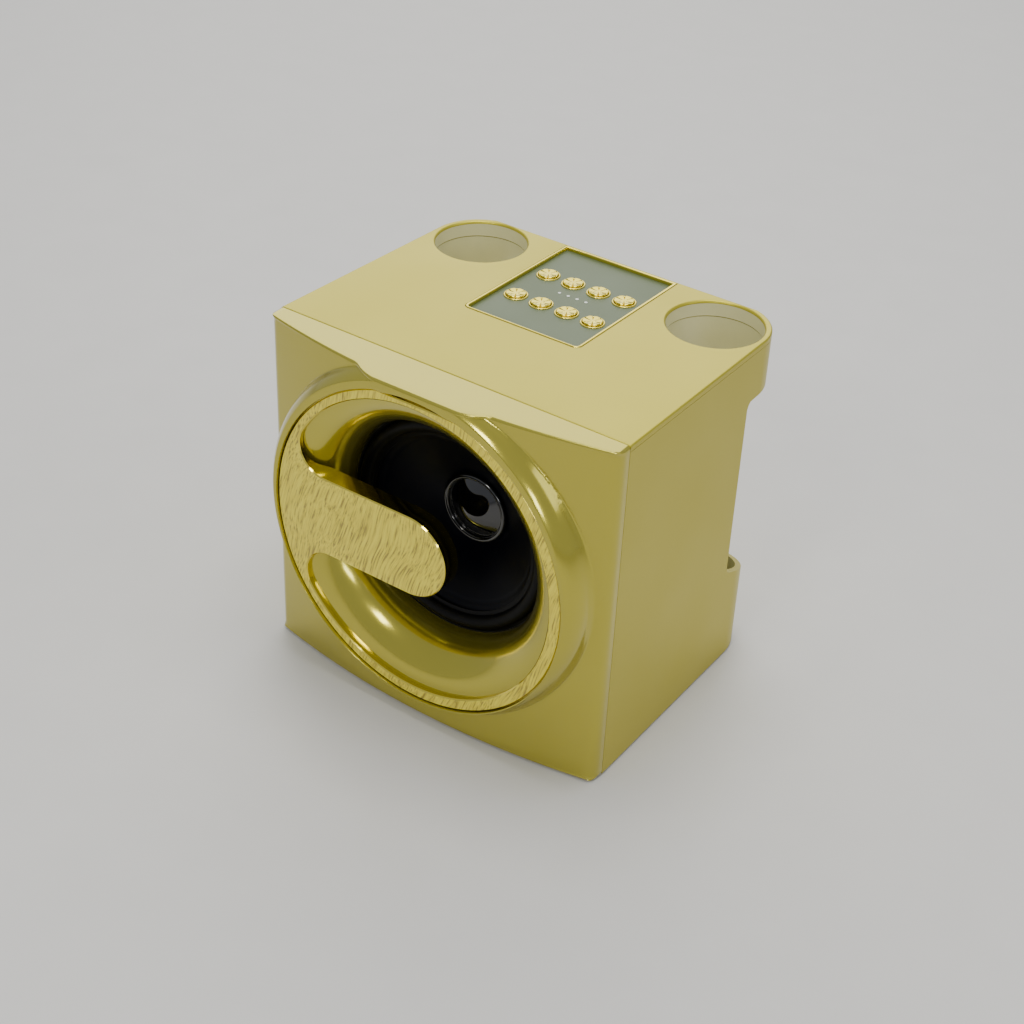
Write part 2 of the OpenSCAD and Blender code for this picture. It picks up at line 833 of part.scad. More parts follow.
module control_board_screws() {
  color("silver") both_sides() for (y = [bezel_front + 5, bezel_back - 9])
    translate([bezel_w / 2, y, board_z - board_t]) mirror([0, 0, 1]) screw(1.05, 5, 2.2, 1.3);
}

// ---- Back panel and electronics ----

module usb_c_shape(r) {
  for (side = [-1, 1]) translate([side * 2.87, 0]) circle(r = r);
  translate([-2.87, -r]) square([5.74, 2 * r]);
}

module socket_panel() {
  color("darkkhaki") difference() {
    translate([-panel_w / 2, panel_y, panel_z - panel_h / 2]) cube([panel_w, panel_t, panel_h]);
    at_panel(switch_x) translate([-5.5, -2, -5]) cube([11, 4, far]);
    at_panel(usb_c_x) translate([0, 0, -5]) linear_extrude(far) usb_c_shape(1.9);
    at_panel(usb_a_x) translate([-6.95, -3.25, -5]) cube([13.9, 6.5, far]);
    at_panel(aux_x) translate([0, 0, -5]) cylinder(r = 3.2, h = far);
    at_panel(lamp_x) translate([0, 4, -5]) cylinder(r = 1.5, h = far);
    both_sides() for (side = [-1, 1])
      translate([panel_screw_x, y_back, panel_z + side * panel_screw_z])
        rotate([90, 0, 0]) cylinder(r = 1.7, h = 5);
  }
}

// Sockets are drawn facing up from the panel's outer face; this turns them to face the back.
module at_panel(x) {
  translate([x, panel_y + panel_t, panel_z]) rotate([-90, 0, 0]) mirror([0, 1, 0]) children();
}

module panel_screws() {
  color("silver") both_sides() for (side = [-1, 1])
    translate([panel_screw_x, panel_y + panel_t, panel_z + side * panel_screw_z])
      rotate([-90, 0, 0]) screw(1.25, 7, 2.6, 1.2);
}

module main_board() {
  color("darkgreen") {
    difference() {
      translate([-main_board_half, main_board_front, main_board_top - board_t])
        cube([2 * main_board_half, main_board_back - main_board_front, board_t]);
      both_sides() for (y = post_y) translate([post_x, y, 0]) cylinder(r = 1.5, h = far);
    }
    translate([-7, link_y - 2.5, main_board_top - eps]) cube([14, 5, 4]);
    translate([lead_x - 4, main_board_front + 1, main_board_top - eps]) cube([8, 5, 5]);
    translate([-24, main_board_front + 6, main_board_top - eps]) cube([9, 9, 2]);
    for (x = [-10, 12, 19]) translate([x, main_board_front + 8, main_board_top - eps])
      cylinder(r = 2.5, h = 6);
  }
}

module main_board_screws() {
  color("silver") both_sides() for (y = post_y)
    translate([post_x, y, main_board_top]) screw(1.25, 9, 2.6, 1.3);
}

module usb_a_socket() {
  color("silver") at_panel(usb_a_x) translate([0, 0, -14]) {
    difference() {
      translate([-6.55, -2.85, 0]) cube([13.1, 5.7, 14]);
      translate([-6.25, -2.55, 1.5]) cube([12.5, 5.1, 20]);
    }
    translate([-5.6, 0.5, 1]) cube([11.2, 1.8, 11]);
    translate([-6.55, -4, 0]) cube([13.1, 1.2, 9]);
  }
}

module usb_c_socket() {
  color("silver") at_panel(usb_c_x) translate([0, 0, -8]) {
    difference() {
      linear_extrude(8) usb_c_shape(1.6);
      translate([0, 0, 1]) linear_extrude(8) usb_c_shape(1.3);
    }
    translate([-3.35, -0.35, 0.5]) cube([6.7, 0.7, 6]);
    translate([-4.2, -4, 0]) cube([8.4, 2.45, 6]);
  }
}

module audio_socket() {
  color("black") at_panel(aux_x) difference() {
    union() {
      translate([-5.5, -4, -aux_d - 1]) cube([11, 9, aux_d - 1]);
      translate([0, 0, -3]) cylinder(r = 3, h = 3);
    }
    translate([0, 0, -aux_d]) cylinder(r = aux_r, h = far);
  }
}

module power_switch() {
  color("silver") at_panel(switch_x) difference() {
    translate([-7.5, -4, -9.5]) cube([15, 8, 7.5]);
    translate([-switch_travel / 2 - 2.3, -1.8, -6]) cube([switch_travel + 4.6, 3.6, 20]);
  }
}

module switch_knob() {
  color("black") at_panel(switch_x) translate([-switch_travel / 2, 0, 0]) {
    translate([-2, -1.5, -5.7]) cube([4, 3, 6.2]);
    for (x = [-1, 0, 1]) translate([x - 0.2, -1.5, 0.5 - eps]) cube([0.4, 3, 0.3]);
  }
}

module charge_lamp() {
  color("red") at_panel(lamp_x) translate([0, 4, -3]) {
    cylinder(r = 1.4, h = 3);
    translate([-2, -8, -1]) cube([4, 9, 1 + eps]);
  }
}

module battery_holder() {
  length = cell_l + 8;
  inside = 2 * cell_r + 0.4;
  color("dimgray") translate([-length / 2, battery_y - inside / 2 - 1.5, floor_z]) difference() {
    cube([length, inside + 3, holder_h]);
    translate([2.5, 1.5, 1.5]) cube([length - 5, inside, holder_h]);
    translate([14, -1, 6]) cube([length - 28, inside + 6, holder_h]);
  }
}

module battery_cell() {
  color("steelblue") translate([-cell_l / 2, battery_y, battery_z]) rotate([0, 90, 0]) {
    cylinder(r = cell_r, h = cell_l - 1);
    translate([0, 0, cell_l - 1 - eps]) cylinder(r = 3, h = 1);
  }
}

// The two edges of a strip of even thickness that follows a path of points
function strip_side(path, t) = [for (i = [0 : len(path) - 1])
  let (a = path[max(i - 1, 0)], b = path[min(i + 1, len(path) - 1)], d = (b - a) / norm(b - a))
    path[i] + [-d[1], d[0]] * t];

module strip(path, thickness, width, x) {
  side_a = strip_side(path, thickness / 2);
  side_b = strip_side(path, -thickness / 2);
  across(width, x) polygon(concat(side_a, [for (i = [len(path) - 1 : -1 : 0]) side_b[i]]));
}

module ribbon_cable() {
  low = main_board_top + 4;
  high = board_z - board_t - 4;
  rise = high - low;
  steps = 16;
  color("lightgray") strip([for (i = [0 : steps])
    [link_y + 5 * sin(180 * i / steps) * sin(180 * i / steps), low + rise * i / steps]], 0.8, 12, 0);
}

module speaker_lead() {
  start = [terminal_t - basket_f, horn_z - flange_r + 4];
  end = [main_board_front + 1, main_board_top + 2.5];
  steps = 14;
  color("crimson") strip([for (i = [0 : steps])
    let (s = i / steps, ease = s * s * (3 - 2 * s)) start * (1 - s) + [end[0] * s, end[1] * s]
      + [0, (end[1] - start[1]) * (ease - s)]], 1.6, 4, lead_x);
}

cabinet();
well_housings();
top_cover();
front_baffle();
horn();
trim_ring();
driver_gasket();
driver_basket();
driver_surround();
driver_cone();
dust_cap();
voice_coil();
spider();
magnet_top_plate();
magnet();
magnet_back_plate();
driver_terminal();
driver_screws();
control_bezel();
control_plate();
button_rings();
button(1);  // button_1
button(2);  // button_2
button(3);  // button_3
button(4);  // button_4
button(5);  // button_5
button(6);  // button_6
button(7);  // button_7
button(8);  // button_8
lamp_lenses();
control_board();
button_switches();
control_board_screws();
socket_panel();
panel_screws();
main_board();
main_board_screws();
usb_a_socket();
usb_c_socket();
audio_socket();
power_switch();
switch_knob();
charge_lamp();
battery_holder();
battery_cell();
ribbon_cable();
speaker_lead();
well_pads();
feet();
baffle_screws();
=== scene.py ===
# %% [markdown]
# # A table-top karaoke loudspeaker
# The real object is a box of moulded ABS with a bowed front. A flared horn sits in the front behind a
# flat trim ring, a panel of buttons lies in the top, and a microphone stands in a well at each rear corner.
# A CAD model already fixes every size and every moving body. This lesson puts finished surfaces around
# it. The CAD model is loaded first and never changes, so all places below are read from it.

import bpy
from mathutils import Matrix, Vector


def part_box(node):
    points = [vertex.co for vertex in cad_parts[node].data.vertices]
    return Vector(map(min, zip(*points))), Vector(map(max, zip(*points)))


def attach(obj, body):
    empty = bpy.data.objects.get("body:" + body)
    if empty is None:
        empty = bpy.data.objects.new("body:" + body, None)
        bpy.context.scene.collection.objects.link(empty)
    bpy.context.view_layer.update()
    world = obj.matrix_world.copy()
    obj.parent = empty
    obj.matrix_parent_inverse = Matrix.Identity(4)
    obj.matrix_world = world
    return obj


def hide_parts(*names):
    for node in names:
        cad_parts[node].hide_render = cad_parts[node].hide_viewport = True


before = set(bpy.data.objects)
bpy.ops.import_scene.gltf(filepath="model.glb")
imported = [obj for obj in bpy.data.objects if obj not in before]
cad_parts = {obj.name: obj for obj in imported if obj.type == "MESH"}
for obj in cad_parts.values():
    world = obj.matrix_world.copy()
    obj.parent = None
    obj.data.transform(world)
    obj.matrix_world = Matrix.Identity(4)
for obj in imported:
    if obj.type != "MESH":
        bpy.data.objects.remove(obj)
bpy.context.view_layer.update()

import math

import bmesh
import bpy
import numpy as np
from mathutils import Matrix, Vector
from mathutils.geometry import tessellate_polygon

MM = 0.001

# %% [markdown]
# Lengths are easiest to read in millimetres, so every shape is worked out in millimetres and turned to
# metres once, as its mesh is made. The helper below gives a CAD node's lowest and highest corners that way.

# %% Read the main places from the frame


def corners(node):
    """Lowest and highest corner of a CAD node, in millimetres."""
    low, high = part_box(node)
    return np.array(low) / MM, np.array(high) / MM


cabinet_low, cabinet_high = corners("cabinet")
cover_high = corners("top_cover")[1]
baffle_low, baffle_high = corners("front_baffle")
ring_low, ring_high = corners("trim_ring")
horn_low, horn_high = corners("horn")
bezel_low, bezel_high = corners("control_bezel")

seam_y = cabinet_low[1]
back_y = cabinet_high[1]
foot_z = baffle_low[2]
top_z = cover_high[2]
half_width = baffle_high[0]
face_f = -baffle_low[1]
ring_r = ring_high[0]
ring_z = ring_low[2] + ring_r
ring_f = -ring_low[1]
horn_r = horn_high[0]
horn_z = horn_low[2] + horn_r

# %% [markdown]
# ## Camera
# The picture is taken from the front right, from above, with a lens near 63 mm and a slight roll. A camera
# could be aimed with a Track To constraint. Here its three axes are computed from azimuth, elevation
# and roll, because that keeps the roll exact.

# %% Place the camera
AZIMUTH, ELEVATION, ROLL = np.radians([34.5, 33.77, 2.69])
CAMERA_DISTANCE = 871.06
CAMERA_TARGET = np.array([0.03, -3.25, 77.36])
FOCAL_SHARE, SENSOR = 1802.4 / 1024, 36.0


def camera_axes():
    """Right, up and back vectors: back from azimuth and elevation, then right and up turned by the roll."""
    back = np.array([math.sin(AZIMUTH) * math.cos(ELEVATION),
                     -math.cos(AZIMUTH) * math.cos(ELEVATION), math.sin(ELEVATION)])
    right = np.cross([0, 0, 1], back)
    right /= np.linalg.norm(right)
    up = np.cross(back, right)
    rolled_right = math.cos(ROLL) * right + math.sin(ROLL) * up
    rolled_up = -math.sin(ROLL) * right + math.cos(ROLL) * up
    return rolled_right, rolled_up, back


def place_camera():
    """A camera that looks at the target from the computed side, level apart from its roll."""
    camera = bpy.data.objects.new("camera", bpy.data.cameras.new("camera"))
    bpy.context.scene.collection.objects.link(camera)
    camera.data.sensor_width = SENSOR
    camera.data.lens = FOCAL_SHARE * SENSOR
    right, up, back = camera_axes()
    place = (CAMERA_TARGET + back * CAMERA_DISTANCE) * MM
    camera.matrix_world = Matrix([[right[i], up[i], back[i], place[i]] for i in range(3)] + [[0, 0, 0, 1]])
    bpy.context.scene.camera = camera
    return camera


camera = place_camera()
print("lens %.1f mm" % camera.data.lens)

# %% [markdown]
# ## Finishes
# Each finish starts from what the real one is. One function turns a hex colour to linear light, and one adds
# a node with its settings and links. Patterns read Object coordinates, so they stay on a piece when it
# moves. Their scale is worked out from a real size: Noise repeats about once per unit of its scale.

# %% Two helpers for finishes


def linear(hex_colour):
    """Linear RGBA of an sRGB hex colour: each channel is divided by 12.92, or raised to 2.4 above 0.04045."""
    value = np.array([int(hex_colour[i:i + 2], 16) for i in (1, 3, 5)]) / 255
    value = np.where(value <= 0.04045, value / 12.92, ((value + 0.055) / 1.055) ** 2.4)
    return (*value.tolist(), 1.0)


def add(tree, kind, links=None, **settings):
    """Adds one node. A link's value is another node's socket, or a constant for this one's socket."""
    node = tree.nodes.new(kind)
    for name, value in settings.items():
        setattr(node, name, value)
    for socket, value in (links or {}).items():
        if isinstance(value, bpy.types.NodeSocket):
            tree.links.new(value, node.inputs[socket])
        else:
            node.inputs[socket].default_value = value
    return node


def per_mm(size):
    """Noise scale at which one blotch is about that many millimetres."""
    return 1 / (size * MM)


finishes = {}

# %% [markdown]
# A sprayed or moulded surface is never one colour: its flakes, dye or dust shift it a little, and its gloss
# shifts too. One routine covers all the plain finishes. It mixes two close colours over a fine noise,
# lets a second, larger noise change the roughness, and raises a slight bump.

# %% Plain finishes


def blend_colours(tree, factor, first, second):
    """A colour that goes from first to second as factor goes from 0 to 1."""
    return add(tree, "ShaderNodeMix", {0: factor, 6: linear(first), 7: linear(second)},
               data_type="RGBA").outputs[2]


def plain_finish(name, first, second, grain, rough, bump=0.02, **shader):
    """A finish with grain blotches of `grain` mm, roughness between the two values of rough, and a bump."""
    material = bpy.data.materials.new(name)
    material.use_nodes = True
    tree = material.node_tree
    surface = tree.nodes["Principled BSDF"]
    where = add(tree, "ShaderNodeTexCoord").outputs["Object"]
    fine = add(tree, "ShaderNodeTexNoise", {"Vector": where, "Scale": per_mm(grain), "Detail": 3.0})
    wide = add(tree, "ShaderNodeTexNoise", {"Vector": where, "Scale": per_mm(45), "Detail": 2.0})
    tree.links.new(blend_colours(tree, fine.outputs[0], first, second), surface.inputs["Base Color"])
    spread = add(tree, "ShaderNodeMapRange", {0: wide.outputs[0], 1: 0.3, 2: 0.7, 3: rough[0], 4: rough[1]})
    tree.links.new(spread.outputs[0], surface.inputs["Roughness"])
    raised = add(tree, "ShaderNodeBump", {"Height": fine.outputs[0], "Strength": bump, "Distance": 0.1 * MM})
    tree.links.new(raised.outputs[0], surface.inputs["Normal"])
    for socket, value in shader.items():
        surface.inputs[socket.replace("_", " ")].default_value = value
    finishes[name] = material
    return material


# Metallic paint on ABS: aluminium flakes under a satin clear coat give a soft sheen with no sharp reflection.
satin_gold = plain_finish("satin_gold_paint", "#BEB237", "#B5A931", 0.5, (0.32, 0.38), 0.03, Metallic=0.65)
# A paler, nearly non-metallic copy of the satin gold for the walls inside the wells: painted light for their
# pale sheen.
painted_light_gold = plain_finish("well_painted_light", "#E2DEAE", "#DAD6A6", 0.5, (0.36, 0.42), 0.03, Metallic=0.1)
# Pearl lacquer: finer flakes under a polished coat, so the colour deepens away from the lights.
pearl_gold = plain_finish("pearl_gold_lacquer", "#BAAF3C", "#B0A536", 0.4, (0.15, 0.19), 0.01, Metallic=0.8,
                          Coat_Weight=0.6, Coat_Roughness=0.04)
# Gold electroplate on ABS: a true metal film, almost a mirror.
bright_gold = plain_finish("gold_electroplate", "#E8D65E", "#E0CE56", 0.3, (0.08, 0.11), 0.004, Metallic=1.0)
# Screen print on a satin film: grey-green, with the slight tooth of the film.
sage_print = plain_finish("sage_screen_print", "#5C6A48", "#566344", 0.25, (0.40, 0.48), 0.04, Metallic=0.1)
# Injection-moulded polypropylene: blue-black, with a waxy sheen.
cone_black = plain_finish("blue_black_polypropylene", "#02030C", "#010208", 0.6, (0.34, 0.42), 0.01,
                          Specular_IOR_Level=0.12)
# Polished black cap: lacquered, so it mirrors the lights.
cap_black = plain_finish("black_lacquer", "#050506", "#070709", 0.8, (0.05, 0.08), 0.005, Coat_Weight=0.8)
# Butyl rubber: dull black with a talc bloom.
butyl = plain_finish("butyl_rubber", "#040405", "#060607", 0.5, (0.42, 0.52), 0.03, Specular_IOR_Level=0.15)
foot_rubber = plain_finish("foot_rubber", "#1C1C1C", "#242424", 0.4, (0.7, 0.8), 0.15)
foam = plain_finish("closed_cell_foam", "#111111", "#1D1D1D", 0.3, (0.85, 0.95), 0.5)
# Black paint on pressed steel, zinc plate on steel, sintered ferrite and enamelled copper wire.
basket_paint = plain_finish("black_stove_enamel", "#101011", "#161617", 0.6, (0.42, 0.5), 0.04)
zinc = plain_finish("zinc_plate", "#B9B9B4", "#A4A49F", 0.8, (0.28, 0.4), 0.05, Metallic=1.0)
ferrite = plain_finish("sintered_ferrite", "#1B1B1D", "#252527", 0.5, (0.6, 0.7), 0.2)
copper = plain_finish("enamelled_copper", "#B4673A", "#9E5630", 0.25, (0.25, 0.32), 0.3, Metallic=1.0)
spider_cloth = plain_finish("phenolic_cloth", "#A06A2C", "#7E5120", 0.5, (0.75, 0.85), 0.6)
# Solder mask on glass fibre, moulded black plastic, tag board, shrink wrap and extruded vinyl.
solder_mask = plain_finish("solder_mask", "#0C4A22", "#0A3F1D", 1.2, (0.3, 0.4), 0.05)
black_abs = plain_finish("black_abs", "#121213", "#1A1A1B", 0.35, (0.42, 0.5), 0.1)
tag_board = plain_finish("tag_board", "#6B4526", "#5A381D", 0.6, (0.7, 0.8), 0.2)
shrink_wrap = plain_finish("shrink_wrap", "#2F6FA8", "#28639A", 1.5, (0.2, 0.28), 0.02)
grey_vinyl = plain_finish("grey_vinyl", "#8B8B8B", "#7E7E7E", 0.6, (0.5, 0.6), 0.05)
red_vinyl = plain_finish("red_vinyl", "#9C1B18", "#8A1512", 0.6, (0.4, 0.5), 0.05)
# Milky and red acrylic lenses: light enters them, so they glow a little at their edges.
white_lens = plain_finish("milky_acrylic", "#DDE2D4", "#D3D9CA", 0.4, (0.12, 0.18), 0.01, IOR=1.49)
red_lens = plain_finish("red_acrylic", "#A3130E", "#8E100C", 0.4, (0.1, 0.16), 0.01, IOR=1.49)
print(len(finishes), "plain finishes")

# %% [markdown]
# ### The grain print
# The ring's face is printed with a gold wood grain under gloss lacquer. Wood figure is growth rings cut
# lengthwise: long thin streaks, bent where a knot was. A Wave texture gives streaks that are too
# even, so here a noise is stretched along the grain, and a slow second noise pushes its coordinates aside.

# %% Make the grain print


def grain_print():
    """Streaks from a noise that is 20 times longer than wide, pushed aside by a slow noise."""
    material = bpy.data.materials.new("gold_grain_print")
    material.use_nodes = True
    tree = material.node_tree
    surface = tree.nodes["Principled BSDF"]
    where = add(tree, "ShaderNodeTexCoord").outputs["Object"]
    tilted = add(tree, "ShaderNodeMapping", {"Vector": where, "Rotation": (0, math.radians(-16), 0)})
    slow = add(tree, "ShaderNodeTexNoise", {"Vector": tilted.outputs[0], "Scale": per_mm(45), "Detail": 1.0})
    pushed = add(tree, "ShaderNodeVectorMath", {0: slow.outputs["Color"], 1: (0.014, 0.014, 0.014)},
                 operation="MULTIPLY")
    bent = add(tree, "ShaderNodeVectorMath", {0: tilted.outputs[0], 1: pushed.outputs[0]}, operation="ADD")
    stretched = add(tree, "ShaderNodeMapping", {"Vector": bent.outputs[0], "Scale": (1, 1, 0.05)})
    streaks = add(tree, "ShaderNodeTexNoise", {"Vector": stretched.outputs[0], "Scale": per_mm(0.8),
                                               "Detail": 3.0, "Roughness": 0.55})
    ramp = add(tree, "ShaderNodeValToRGB", {0: streaks.outputs[0]})
    ramp.color_ramp.elements[0].position = 0.36
    ramp.color_ramp.elements[0].color = linear("#9A860E")
    ramp.color_ramp.elements[1].position = 0.62
    ramp.color_ramp.elements[1].color = linear("#F0DF2E")
    middle = ramp.color_ramp.elements.new(0.45)
    middle.color = linear("#DBC71E")
    tree.links.new(ramp.outputs[0], surface.inputs["Base Color"])
    surface.inputs["Metallic"].default_value = 0.2
    surface.inputs["Roughness"].default_value = 0.3
    surface.inputs["Coat Weight"].default_value = 0.7
    surface.inputs["Coat Roughness"].default_value = 0.05
    return material


grain_gold = grain_print()
print("made", grain_gold.name)

# %% [markdown]
# ## Shape helpers
# Almost every visible piece is a profile carried along an outline. An outline is a closed loop of points, run
# anticlockwise round material and clockwise round a hole, so that moving a point along its outward normal
# always leaves the material.

# %% Outlines and profiles


def arc(centre, radius, start, end, count=24):
    """Points of a circle's arc: centre plus radius times (cosine, sine) of angles in degrees."""
    turn = np.radians(np.linspace(start, end, count))
    return np.stack([centre[0] + radius * np.cos(turn), centre[1] + radius * np.sin(turn)], -1)


def outline(*pieces):
    """One closed loop from arcs and single points, without any point that repeats the one before it."""
    loop = np.vstack([np.atleast_2d(piece) for piece in pieces])
    return loop[np.linalg.norm(loop - np.roll(loop, 1, axis=0), axis=1) > 1e-6]


def mitres(loop):
    """Outward mitre at each point: the sum of the two side normals over 1 plus their dot product."""
    side = np.roll(loop, -1, axis=0) - loop
    side /= np.linalg.norm(side, axis=1, keepdims=True)
    after = np.stack([side[:, 1], -side[:, 0]], -1)
    before = np.roll(after, 1, axis=0)
    return (after + before) / (1 + np.sum(after * before, axis=1, keepdims=True))


def edge_profile(top, bottom, round_top, round_bottom, count=6):
    """(offset, height) pairs down an edge: a quarter round, the wall, and a quarter round under it."""
    upper = arc((-round_top, top - round_top), round_top, 90, 0, count)
    lower = arc((-round_bottom, bottom + round_bottom), round_bottom, 0, -90, count)
    return np.vstack([upper, lower])


def carried(loop, profile):
    """Grid whose point (i, j) is loop point i moved by offset j along its mitre, at height j."""
    flat = loop[:, None, :] + mitres(loop)[:, None, :] * profile[None, :, :1]
    height = np.broadcast_to(profile[None, :, 1:], (*flat.shape[:2], 1))
    return np.concatenate([flat, height], -1)


def lying(grid):
    """(across, along, height) as X, Y, Z."""
    return grid


def facing(centre_z):
    """Turns (across, up, forward) into X, Y, Z for a piece that faces the front, about a height."""
    return lambda grid: np.stack([grid[..., 0], -grid[..., 2], centre_z + grid[..., 1]], -1)


# %% [markdown]
# A shell is gathered from parts: grids for its edges and flat fills for its faces. The parts are welded, and
# Blender then turns the faces of the closed shell outwards. Smooth shading stops at edges that are sharper
# than a set angle.

# %% Meshes from grids and fills


def grid_part(grid, slot=0, wrap=(True, False)):
    """Four-sided faces between neighbours of a grid, which may close on itself in either direction."""
    index = np.arange(grid.shape[0] * grid.shape[1]).reshape(grid.shape[:2])
    if wrap[0]:
        index = np.vstack([index, index[:1]])
    if wrap[1]:
        index = np.hstack([index, index[:, :1]])
    faces = np.stack([index[:-1, :-1], index[1:, :-1], index[1:, 1:], index[:-1, 1:]], -1)
    return grid.reshape(-1, 3), faces.reshape(-1, 4).tolist(), slot


def fill_part(loops, slot=0):
    """Triangles across flat loops: the first is the outside, the others are holes."""
    triangles = tessellate_polygon([[Vector(point) for point in loop] for loop in loops])
    return np.vstack(loops), [list(triangle) for triangle in triangles], slot


def smooth(mesh, angle=30):
    """Smooth shading, broken at edges sharper than the angle in degrees."""
    mesh.polygons.foreach_set("use_smooth", np.ones(len(mesh.polygons), bool))
    mesh.set_sharp_from_angle(angle=math.radians(angle))


def shell(name, parts, materials, place=lying, angle=30, weighted=False):
    """One welded object from parts, in metres, with its faces turned outwards."""
    points, faces, slots = [], [], []
    for part_points, part_faces, slot in parts:
        start = sum(len(p) for p in points)
        points.append(place(part_points) * MM)
        faces += [[start + i for i in face] for face in part_faces]
        slots += [slot] * len(part_faces)
    mesh = bpy.data.meshes.new(name)
    mesh.from_pydata(np.vstack(points).tolist(), [], faces)
    for material in materials:
        mesh.materials.append(material)
    mesh.polygons.foreach_set("material_index", slots)
    work = bmesh.new()
    work.from_mesh(mesh)
    bmesh.ops.remove_doubles(work, verts=work.verts, dist=0.002 * MM)
    bmesh.ops.dissolve_degenerate(work, edges=work.edges, dist=0.001 * MM)
    bmesh.ops.recalc_face_normals(work, faces=work.faces)
    work.to_mesh(mesh)
    work.free()
    smooth(mesh, angle)
    piece = bpy.data.objects.new(name, mesh)
    bpy.context.scene.collection.objects.link(piece)
    if weighted:
        piece.modifiers.new("even shading", "WEIGHTED_NORMAL").keep_sharp = True
    return piece


def finish_piece(piece, body, slot, *nodes):
    """Rides the piece on its body and hides the CAD nodes that it stands for; slot is not used."""
    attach(piece, body)
    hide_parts(*nodes)
    print("%s: %d faces" % (piece.name, len(piece.data.polygons)))
    return piece


def turned(name, profile, materials, centre, around=160, place=lying, angle=30):
    """A closed profile of (radius, height) carried round an axis through `centre`."""
    turn = np.linspace(0, 2 * np.pi, around, endpoint=False)[:, None]
    grid = np.stack([centre[0] + profile[None, :, 0] * np.cos(turn),
                     centre[1] + profile[None, :, 0] * np.sin(turn),
                     np.broadcast_to(profile[None, :, 1], (around, len(profile)))], -1)
    return shell(name, [grid_part(grid, 0, (True, True))], materials, place, angle)


# %% [markdown]
# ## The front moulding
# On the real object this is one glossy moulding: a bowed face, a round collar that grows out of it, small
# rounds at its top and bottom and larger ones at its sides. It could be cut from solids with Booleans and
# bevels, but the crease where the collar meets the bow would break up. Here the face is a height over the
# plane, the higher of bow and collar with a small fillet between them. Rays run from the ring's bore to a
# rectangle, and the section then turns back along the walls, so one closed grid makes the whole moulding.

# %% Measure the front moulding
BOW_R, BOW_SET = 400.0, 4.0
SIDE_ROUND, TOP_ROUND, FOOT_ROUND = 6.0, 1.3, 1.2
COLLAR_FACE_R, COLLAR_R, COLLAR_ROUND, COLLAR_RISE = 82.8, 88.3, 14.5, 2.5
LIP_DROP, WALL = 1.2, 3.0
seam_f = -seam_y
bow_centre_f = face_f - BOW_SET - BOW_R
side_x = half_width - SIDE_ROUND
side_turn = math.asin(side_x / (BOW_R - SIDE_ROUND))
seat_r = ring_r + 0.5
seat_flat = ring_high[2] - ring_z + 0.4
bore_r = horn_r + 0.4
seat_back_f = ring_f - 2.6


def lip_height(forward):
    """Height of the top: it falls by the lip's drop from the seam to the front."""
    return top_z - LIP_DROP * (forward - seam_f) / (face_f - seam_f)


def front_height(x, z, fillet=1.4):
    """Forward distance of the face: the higher of bow and collar, rounded where they cross."""
    bow = bow_centre_f + np.sqrt(BOW_R ** 2 - np.minimum(np.abs(x), half_width) ** 2)
    radius = np.hypot(x, z - ring_z - COLLAR_RISE)
    round_r = COLLAR_R - COLLAR_ROUND
    round_f = face_f - math.sqrt(COLLAR_ROUND ** 2 - (COLLAR_FACE_R - round_r) ** 2)
    across = np.clip(radius - round_r, COLLAR_FACE_R - round_r, COLLAR_ROUND - 0.02)
    collar = round_f + np.sqrt(COLLAR_ROUND ** 2 - across ** 2)
    collar = collar - 3.0 * np.maximum(radius - COLLAR_R, 0)
    blend = np.maximum(fillet - np.abs(bow - collar), 0) / fillet
    return np.maximum(bow, collar) + blend ** 2 * fillet / 4


# %% Outlines of the front moulding
SIDE_COUNT, CORNER_COUNT = 110, 7


def rectangle(half, low, high, corner):
    """A rectangle with round corners, with the same number of points whatever its size."""
    def side(start, end):
        return np.linspace(start, end, SIDE_COUNT + 1)[:-1]
    x, z0, z1, r = half - corner, low + corner, high - corner, corner
    pieces = [side((half, z0), (half, z1)), arc((x, z1), r, 0, 90, CORNER_COUNT)[:-1],
              side((x, high), (-x, high)), arc((-x, z1), r, 90, 180, CORNER_COUNT)[:-1],
              side((-half, z1), (-half, z0)), arc((-x, z0), r, 180, 270, CORNER_COUNT)[:-1],
              side((-x, low), (x, low)), arc((x, z0), r, 270, 360, CORNER_COUNT)[:-1]]
    return np.vstack(pieces)


def share(first, second, third, fourth):
    """A value that holds along each side of the rectangle and eases from one to the next in its corners."""
    held = [np.full(SIDE_COUNT, value) for value in (first, second, third, fourth)]
    turning = [np.linspace(a, b, CORNER_COUNT)[:-1] for a, b in
               ((first, second), (second, third), (third, fourth), (fourth, first))]
    return np.concatenate([part for pair in zip(held, turning) for part in pair])


lip_z = lip_height(face_f)
inner_x = side_x + SIDE_ROUND * math.sin(side_turn)
inner = rectangle(inner_x, foot_z + FOOT_ROUND, lip_z - TOP_ROUND, 0.6)
outer = rectangle(half_width, foot_z, lip_z, 1.6)
drop = share(SIDE_ROUND * math.cos(side_turn), TOP_ROUND, SIDE_ROUND * math.cos(side_turn), FOOT_ROUND)
start_turn = share(side_turn, 0.0, side_turn, 0.0)
angle = np.arctan2(inner[:, 1] - ring_z, inner[:, 0])


def polar(radius):
    """Points round the ring's centre, one for each ray."""
    return np.stack([radius * np.cos(angle), ring_z + radius * np.sin(angle)], -1)


rise = horn_z - ring_z
bore_radius = rise * np.sin(angle) + np.sqrt(bore_r ** 2 - (rise * np.cos(angle)) ** 2)
cut = np.where(np.sin(angle) > 0.5, seat_flat / np.maximum(np.sin(angle), 0.5), seat_r)
seat_radius = np.maximum(np.minimum(seat_r, cut), bore_radius)
print("rays:", len(angle))

# %% Build the front moulding
LIP_EASE = 27.0


def raised_to_lip(flat, forward):
    """Lifts points near the top so that the top follows its slope."""
    weight = np.clip((flat[..., 1] - (lip_z - LIP_EASE)) / LIP_EASE, 0, 1) ** 2
    lifted = flat.copy()
    lifted[..., 1] += weight * (lip_height(np.clip(forward, seam_f, face_f)) - lip_z)
    return lifted


